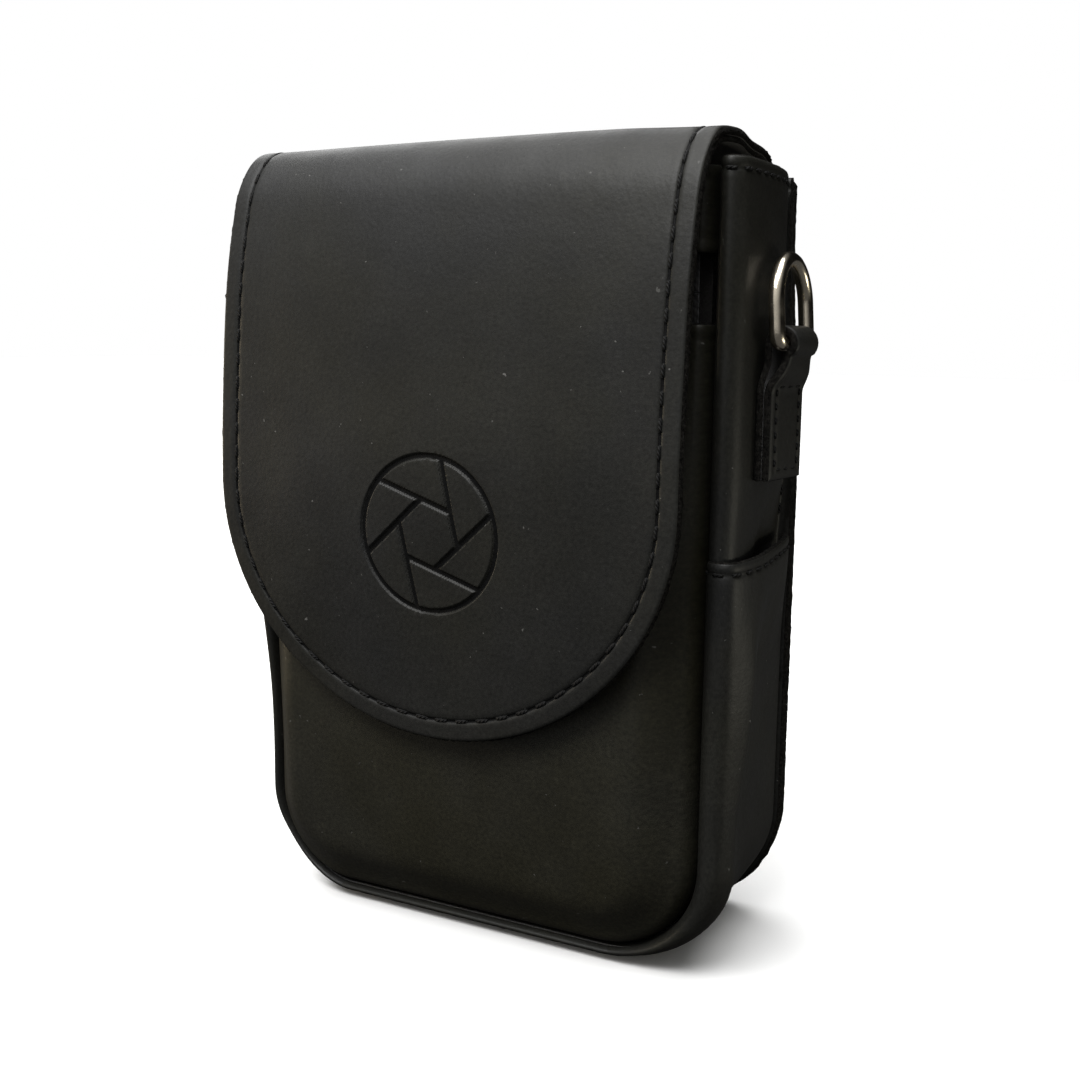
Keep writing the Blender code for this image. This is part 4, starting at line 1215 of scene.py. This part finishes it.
def make_back():
    rings = [0.25, 0.55, 1.0, 1.7, 2.0, 2.4, 2.8, 3.3]
    shoulder = FLAP_LINE[0][1]
    right = rounded_outline(BACK_HALF, 0.0, BACK_RADIUS, CASE_TOP, NECK_HALF + 0.6, shoulder)
    flat, faces, distance = sheet_mesh(right, rings, 2.6)
    seam = np.abs(flat[:, 1] - shoulder) < 3.4
    seam &= np.abs(flat[:, 0]) < NECK_HALF - 3.0
    relief = -rounded(distance, 0.26) - channel(distance, BACK_STITCH, 0.26, 0.5)
    relief[seam] = 0.0

    def surface(u, v, h):
        sag = 0.35 * np.sin(u / 21.0 + 1.0) * np.sin(v / 33.0)
        sag = sag * smooth_step(BACK_HALF - np.abs(u), 6.0, 30.0) * smooth_step(shoulder - v, 4.0, 30.0)
        sag = sag * smooth_step(v, 6.0, 30.0)
        x = -u - np.sign(u) * back_spread(v) * smooth_step(np.abs(u), 48.5, 53.5)
        return settle(np.stack([x, REAR_Y + h - np.abs(sag), v], axis=1))

    def cut(u, v):
        return (np.abs(v - shoulder) < 1e-3) & (np.abs(u) < NECK_HALF)
    item = leather("back_panel_leather", flat, faces, surface, BODY_LEATHER, relief, is_cut=cut)
    place_piece(item, "case", "leather", "back_panel")
    line = rounded_outline(BACK_HALF - BACK_STITCH, BACK_STITCH, BACK_RADIUS - BACK_STITCH,
                           CASE_TOP - BACK_STITCH)
    line = line[(line[:, 0] > BACK_HALF / 2) | (line[:, 1] < BACK_RADIUS)]
    line = line[line[:, 1] < CASE_TOP - 2 * BACK_STITCH]
    route = np.vstack([line[::-1] * np.array([-1, 1]), line[1:]])
    place_piece(stitches("back_seam_stitches", surface, route, lift=-0.05), "case", "leather")

    y_front = box_mm("back_lining")[0][1]

    def lining_surface(u, v, h):
        return np.stack([u, y_front - h, v], axis=1)
    suede_sheet("back_lining", rounded_outline(48.6, 5.0, 21.0, 151.4), lining_surface, LINING, 0.15)

    low, high = box_mm("front_inner_wall")

    def wall_surface(u, v, h):
        return np.stack([-u, high[1] + h, v], axis=1)
    wall = rounded_outline(high[0], low[2], 19.5, high[2], corner=1.5)
    suede_sheet("front_inner_wall", wall, wall_surface, high[1] - low[1], 0.2)


def suede_sheet(node, outline, surface, thickness, bulge):
    """A flat lining with both sides rough."""
    flat, faces, _ = sheet_mesh(outline, [0.5, 1.5], 3.4)
    item = leather(node + "_suede", flat, faces, surface, thickness,
                   materials=(SUEDE, EDGE, SUEDE), bulge=bulge)
    place_piece(item, "case", "lining", node)


# ---------------------------------------------------------------- strap rings and tabs

def tab_line():
    """The folded strip's middle line in the XZ plane, from the back layer's end to the front's."""
    radius = RING_WIRE / 2 + 0.3 + TAB_LEATHER / 2
    back_x = RING_AXIS[0] - radius
    front_x = back_x + TAB_LEATHER + 0.15
    points = [(back_x, TAB_BOTTOM)]
    points += [(back_x, z) for z in np.linspace(TAB_BOTTOM + 4, RING_AXIS[2] - 2, 6)]
    points += [(RING_AXIS[0] + radius * math.cos(a), RING_AXIS[2] + radius * math.sin(a))
               for a in np.radians(np.arange(180, -61, -24))]
    points += [(front_x + 1.5, TAB_NECK + 0.6), (front_x + 0.15, TAB_NECK - 2.4)]
    points += [(front_x, z) for z in np.linspace(TAB_NECK - 5, TAB_BOTTOM, 5)]
    return catmull(points, 6)


def make_tabs():
    line = tab_line()
    travelled = lengths(line)
    ahead = unit(np.gradient(line, travelled, axis=0))
    half = TAB_WIDTH / 2
    total = float(travelled[-1])
    loop = float(travelled[np.argmax(line[:, 1])])
    us = np.concatenate([[0.0, 0.3, 0.8], np.arange(1.5, total - 1.2, 0.6),
                         [total - 0.8, total - 0.3, total]])
    vs = np.concatenate([-half + np.array([0, 0.25, 0.6, 1.2, 1.6, 1.9, 2.3, 3.0]),
                         np.linspace(-2.6, 2.6, 6),
                         half - np.array([3.0, 2.3, 1.9, 1.6, 1.2, 0.6, 0.25, 0])])
    flat, faces = grid(us, vs)
    side_distance = half - np.abs(flat[:, 1])
    end_distance = total - flat[:, 0]
    relief = -rounded(np.minimum(side_distance, end_distance), 0.25, 0.8)
    sewn = (end_distance < 19.5) & (end_distance > 1.0)
    relief -= channel(side_distance, TAB_STITCH, 0.22, 0.4) * sewn
    for side, sign in SIDES:
        def surface(u, v, h, sign=sign):
            at = np.clip(u, 0, total)
            x = np.interp(at, travelled, line[:, 0])
            z = np.interp(at, travelled, line[:, 1])
            ax = np.interp(at, travelled, ahead[:, 0])
            az = np.interp(at, travelled, ahead[:, 1])
            x, z = x + (u - at) * ax, z + (u - at) * az
            sewn = smooth_step(np.abs(u - loop), 7.0, 13.0)
            depth = RING_AXIS[1] + v * (0.95 + 0.20 * sewn) - 1.0 * sewn
            rise = h + TAB_LEATHER / 2
            x = x + sewn * v * math.tan(math.radians(5.0))
            return np.stack([sign * (x - az * rise), depth, z + ax * rise], axis=1)
        item = leather_twin("ring_tab_leather_" + side, flat, faces, surface, TAB_LEATHER, relief,
                            sign, bulge=0.2)
        place_piece(item, "case", "leather", "ring_tab_" + side)
        y_in = half - TAB_STITCH
        corners = [(total - 1.9, -y_in), (total - 18.0, -y_in), (total - 18.0, y_in),
                   (total - 1.9, y_in), (total - 1.9, -y_in)]
        for k, (a, b) in enumerate(zip(corners, corners[1:])):
            stitch_row(f"tab_stitches_{side}_{k}", surface, a, b, 30, pitch=2.8, length=2.0,
                       thread=0.55, lift=0.0)


def make_rings():
    half, corner = RING_WIDTH / 2, RING_CORNER
    right = [(half - corner + corner * math.sin(a), corner - corner * math.cos(a))
             for a in np.linspace(0, math.pi / 2, 10)]
    right += [(half, z) for z in np.linspace(corner, RING_LEG, 6)[1:]]
    right += [(half * math.cos(a), RING_LEG + half * math.sin(a))
              for a in np.linspace(0, math.pi / 2, 24)[1:]]
    loop = right + [(-y, z) for y, z in reversed(right[:-1])]
    bar = [(y, 0.0) for y in np.linspace(-half + corner, half - corner, 12)[1:-1]]
    loop = np.array(loop + bar)
    for side, sign in SIDES:
        x = sign * (RING_AXIS[0] - loop[:, 1] * math.sin(RING_LEAN))
        z = RING_AXIS[2] + loop[:, 1] * math.cos(RING_LEAN)
        points = np.stack([x, RING_AXIS[1] + loop[:, 0], z], axis=1)
        item = tube("strap_ring_wire_" + side, points, RING_WIRE / 2, NICKEL, sides=20, closed=True)
        place_piece(item, "ring_" + side, "nickel", "strap_ring_" + side)


# ---------------------------------------------------------------- carried-over CAD nodes

def dress_nodes():
    for node in ("zip_slider", "zip_pull", "zip_top_stop", "zip_bottom_stop", "flap_magnet",
                 "panel_magnet"):
        data = frame["nodes"][node].data
        data.materials.clear()
        data.materials.append(STEEL if "magnet" in node else NICKEL)


# ---------------------------------------------------------------- floor, light and camera

FLOOR_BOUNCE = 0.045
ROOM_BRIGHT_SIDE = (-0.26, -0.60, 0.755)
ROOM_RANGE, ROOM_LEVELS = (-0.10, 0.95), (0.005, 0.75)   # its strength rises towards that side


def mix_for_camera(nodes, links, lighting, seen, output):
    """The white studio is seen in full, and lights the object with less."""
    path = nodes.new("ShaderNodeLightPath")
    chosen = nodes.new("ShaderNodeMixShader")
    links.new(path.outputs["Is Camera Ray"], chosen.inputs["Fac"])
    links.new(lighting.outputs[0], chosen.inputs[1])
    links.new(seen.outputs[0], chosen.inputs[2])
    links.new(chosen.outputs["Shader"], nodes[output].inputs["Surface"])


def make_stage():
    bpy.ops.mesh.primitive_plane_add(size=8.0, location=(0, 0, 0))
    floor = bpy.context.object
    floor.name = "floor"
    looks = Looks("pale_floor", (0.96, 0.96, 0.955), 0.7)
    looks.set("Specular IOR Level", 0.0)
    bounce = looks.nodes.new("ShaderNodeBsdfDiffuse")
    looks.put(bounce.inputs["Color"], (FLOOR_BOUNCE,) * 3)
    mix_for_camera(looks.nodes, looks.links, bounce, looks.nodes["Principled BSDF"],
                   "Material Output")
    floor.data.materials.append(looks.material)
    world = bpy.data.worlds.new("studio")
    bpy.context.scene.world = world
    world.use_nodes = True
    nodes, links = world.node_tree.nodes, world.node_tree.links
    backdrop = nodes["Background"]
    backdrop.inputs["Color"].default_value = (1.0, 1.0, 1.0, 1.0)
    backdrop.inputs["Strength"].default_value = 1.0
    room = nodes.new("ShaderNodeBackground")
    towards = nodes.new("ShaderNodeVectorMath")
    towards.operation = "DOT_PRODUCT"
    towards.inputs[1].default_value = ROOM_BRIGHT_SIDE
    links.new(nodes.new("ShaderNodeTexCoord").outputs["Generated"], towards.inputs[0])
    level = nodes.new("ShaderNodeMapRange")
    level.interpolation_type = "SMOOTHSTEP"
    for name, value in zip(("From Min", "From Max", "To Min", "To Max"), ROOM_RANGE + ROOM_LEVELS):
        level.inputs[name].default_value = value
    links.new(towards.outputs["Value"], level.inputs["Value"])
    links.new(level.outputs["Result"], room.inputs["Strength"])
    mix_for_camera(nodes, links, room, backdrop, "World Output")


def add_light(name, place, target, size, power, colour=(1.0, 1.0, 1.0)):
    light = bpy.data.lights.new(name, "AREA")
    light.shape = "RECTANGLE"
    light.size, light.size_y = size
    light.energy = power
    light.color = colour
    item = bpy.data.objects.new(name, light)
    bpy.context.scene.collection.objects.link(item)
    item.location = place
    aim = Vector(target) - Vector(place)
    item.rotation_euler = aim.to_track_quat("-Z", "Y").to_euler()
    return item


def make_lights():
    sun = bpy.data.lights.new("sky_light", "SUN")
    sun.energy = 3.0
    sun.angle = math.radians(70.0)
    item = bpy.data.objects.new("sky_light", sun)
    bpy.context.scene.collection.objects.link(item)
    item.rotation_euler = Vector((0.04, 0.16, -1.0)).to_track_quat("-Z", "Y").to_euler()
    add_light("window_light", (-0.08, -0.75, 0.98), (0, 0, 0.13), (0.8, 0.5), 8.2)
    add_light("warm_light", (-0.90, -0.20, 0.05), (0, 0, 0.04), (0.25, 0.25), 2.1, (1.0, 0.82, 0.55))
    add_light("rear_light", (-0.75, 0.75, 0.85), (0, 0, 0.10), (0.7, 0.7), 4.5)
    side = add_light("side_light", (0.33, 0.09, 0.03), (0.05, 0, 0.05), (0.12, 0.05), 0.13,
                     (1.0, 0.96, 0.80))
    side.visible_camera = False


def make_camera():
    camera = bpy.data.cameras.new("camera")
    camera.lens = CAMERA_LENS
    camera.sensor_width = 36.0
    camera.clip_start = 0.01
    item = bpy.data.objects.new("camera", camera)
    bpy.context.scene.collection.objects.link(item)
    turn = Matrix.Rotation(math.radians(CAMERA_YAW), 4, "Z")
    tilt = Matrix.Rotation(math.radians(90.0 - CAMERA_PITCH), 4, "X")
    roll = Matrix.Rotation(math.radians(CAMERA_ROLL), 4, "Z")
    item.matrix_world = Matrix.Translation(CAMERA_PLACE) @ turn @ tilt @ roll
    bpy.context.scene.camera = item
    bpy.context.scene.view_settings.view_transform = "Standard"


make_camera()
make_stage()
make_lights()
make_flap()
make_flap_lining()
make_flap_stitches()
make_gusset()
make_pockets()
make_front()
make_zip()
make_back()
make_tabs()
make_rings()
dress_nodes()
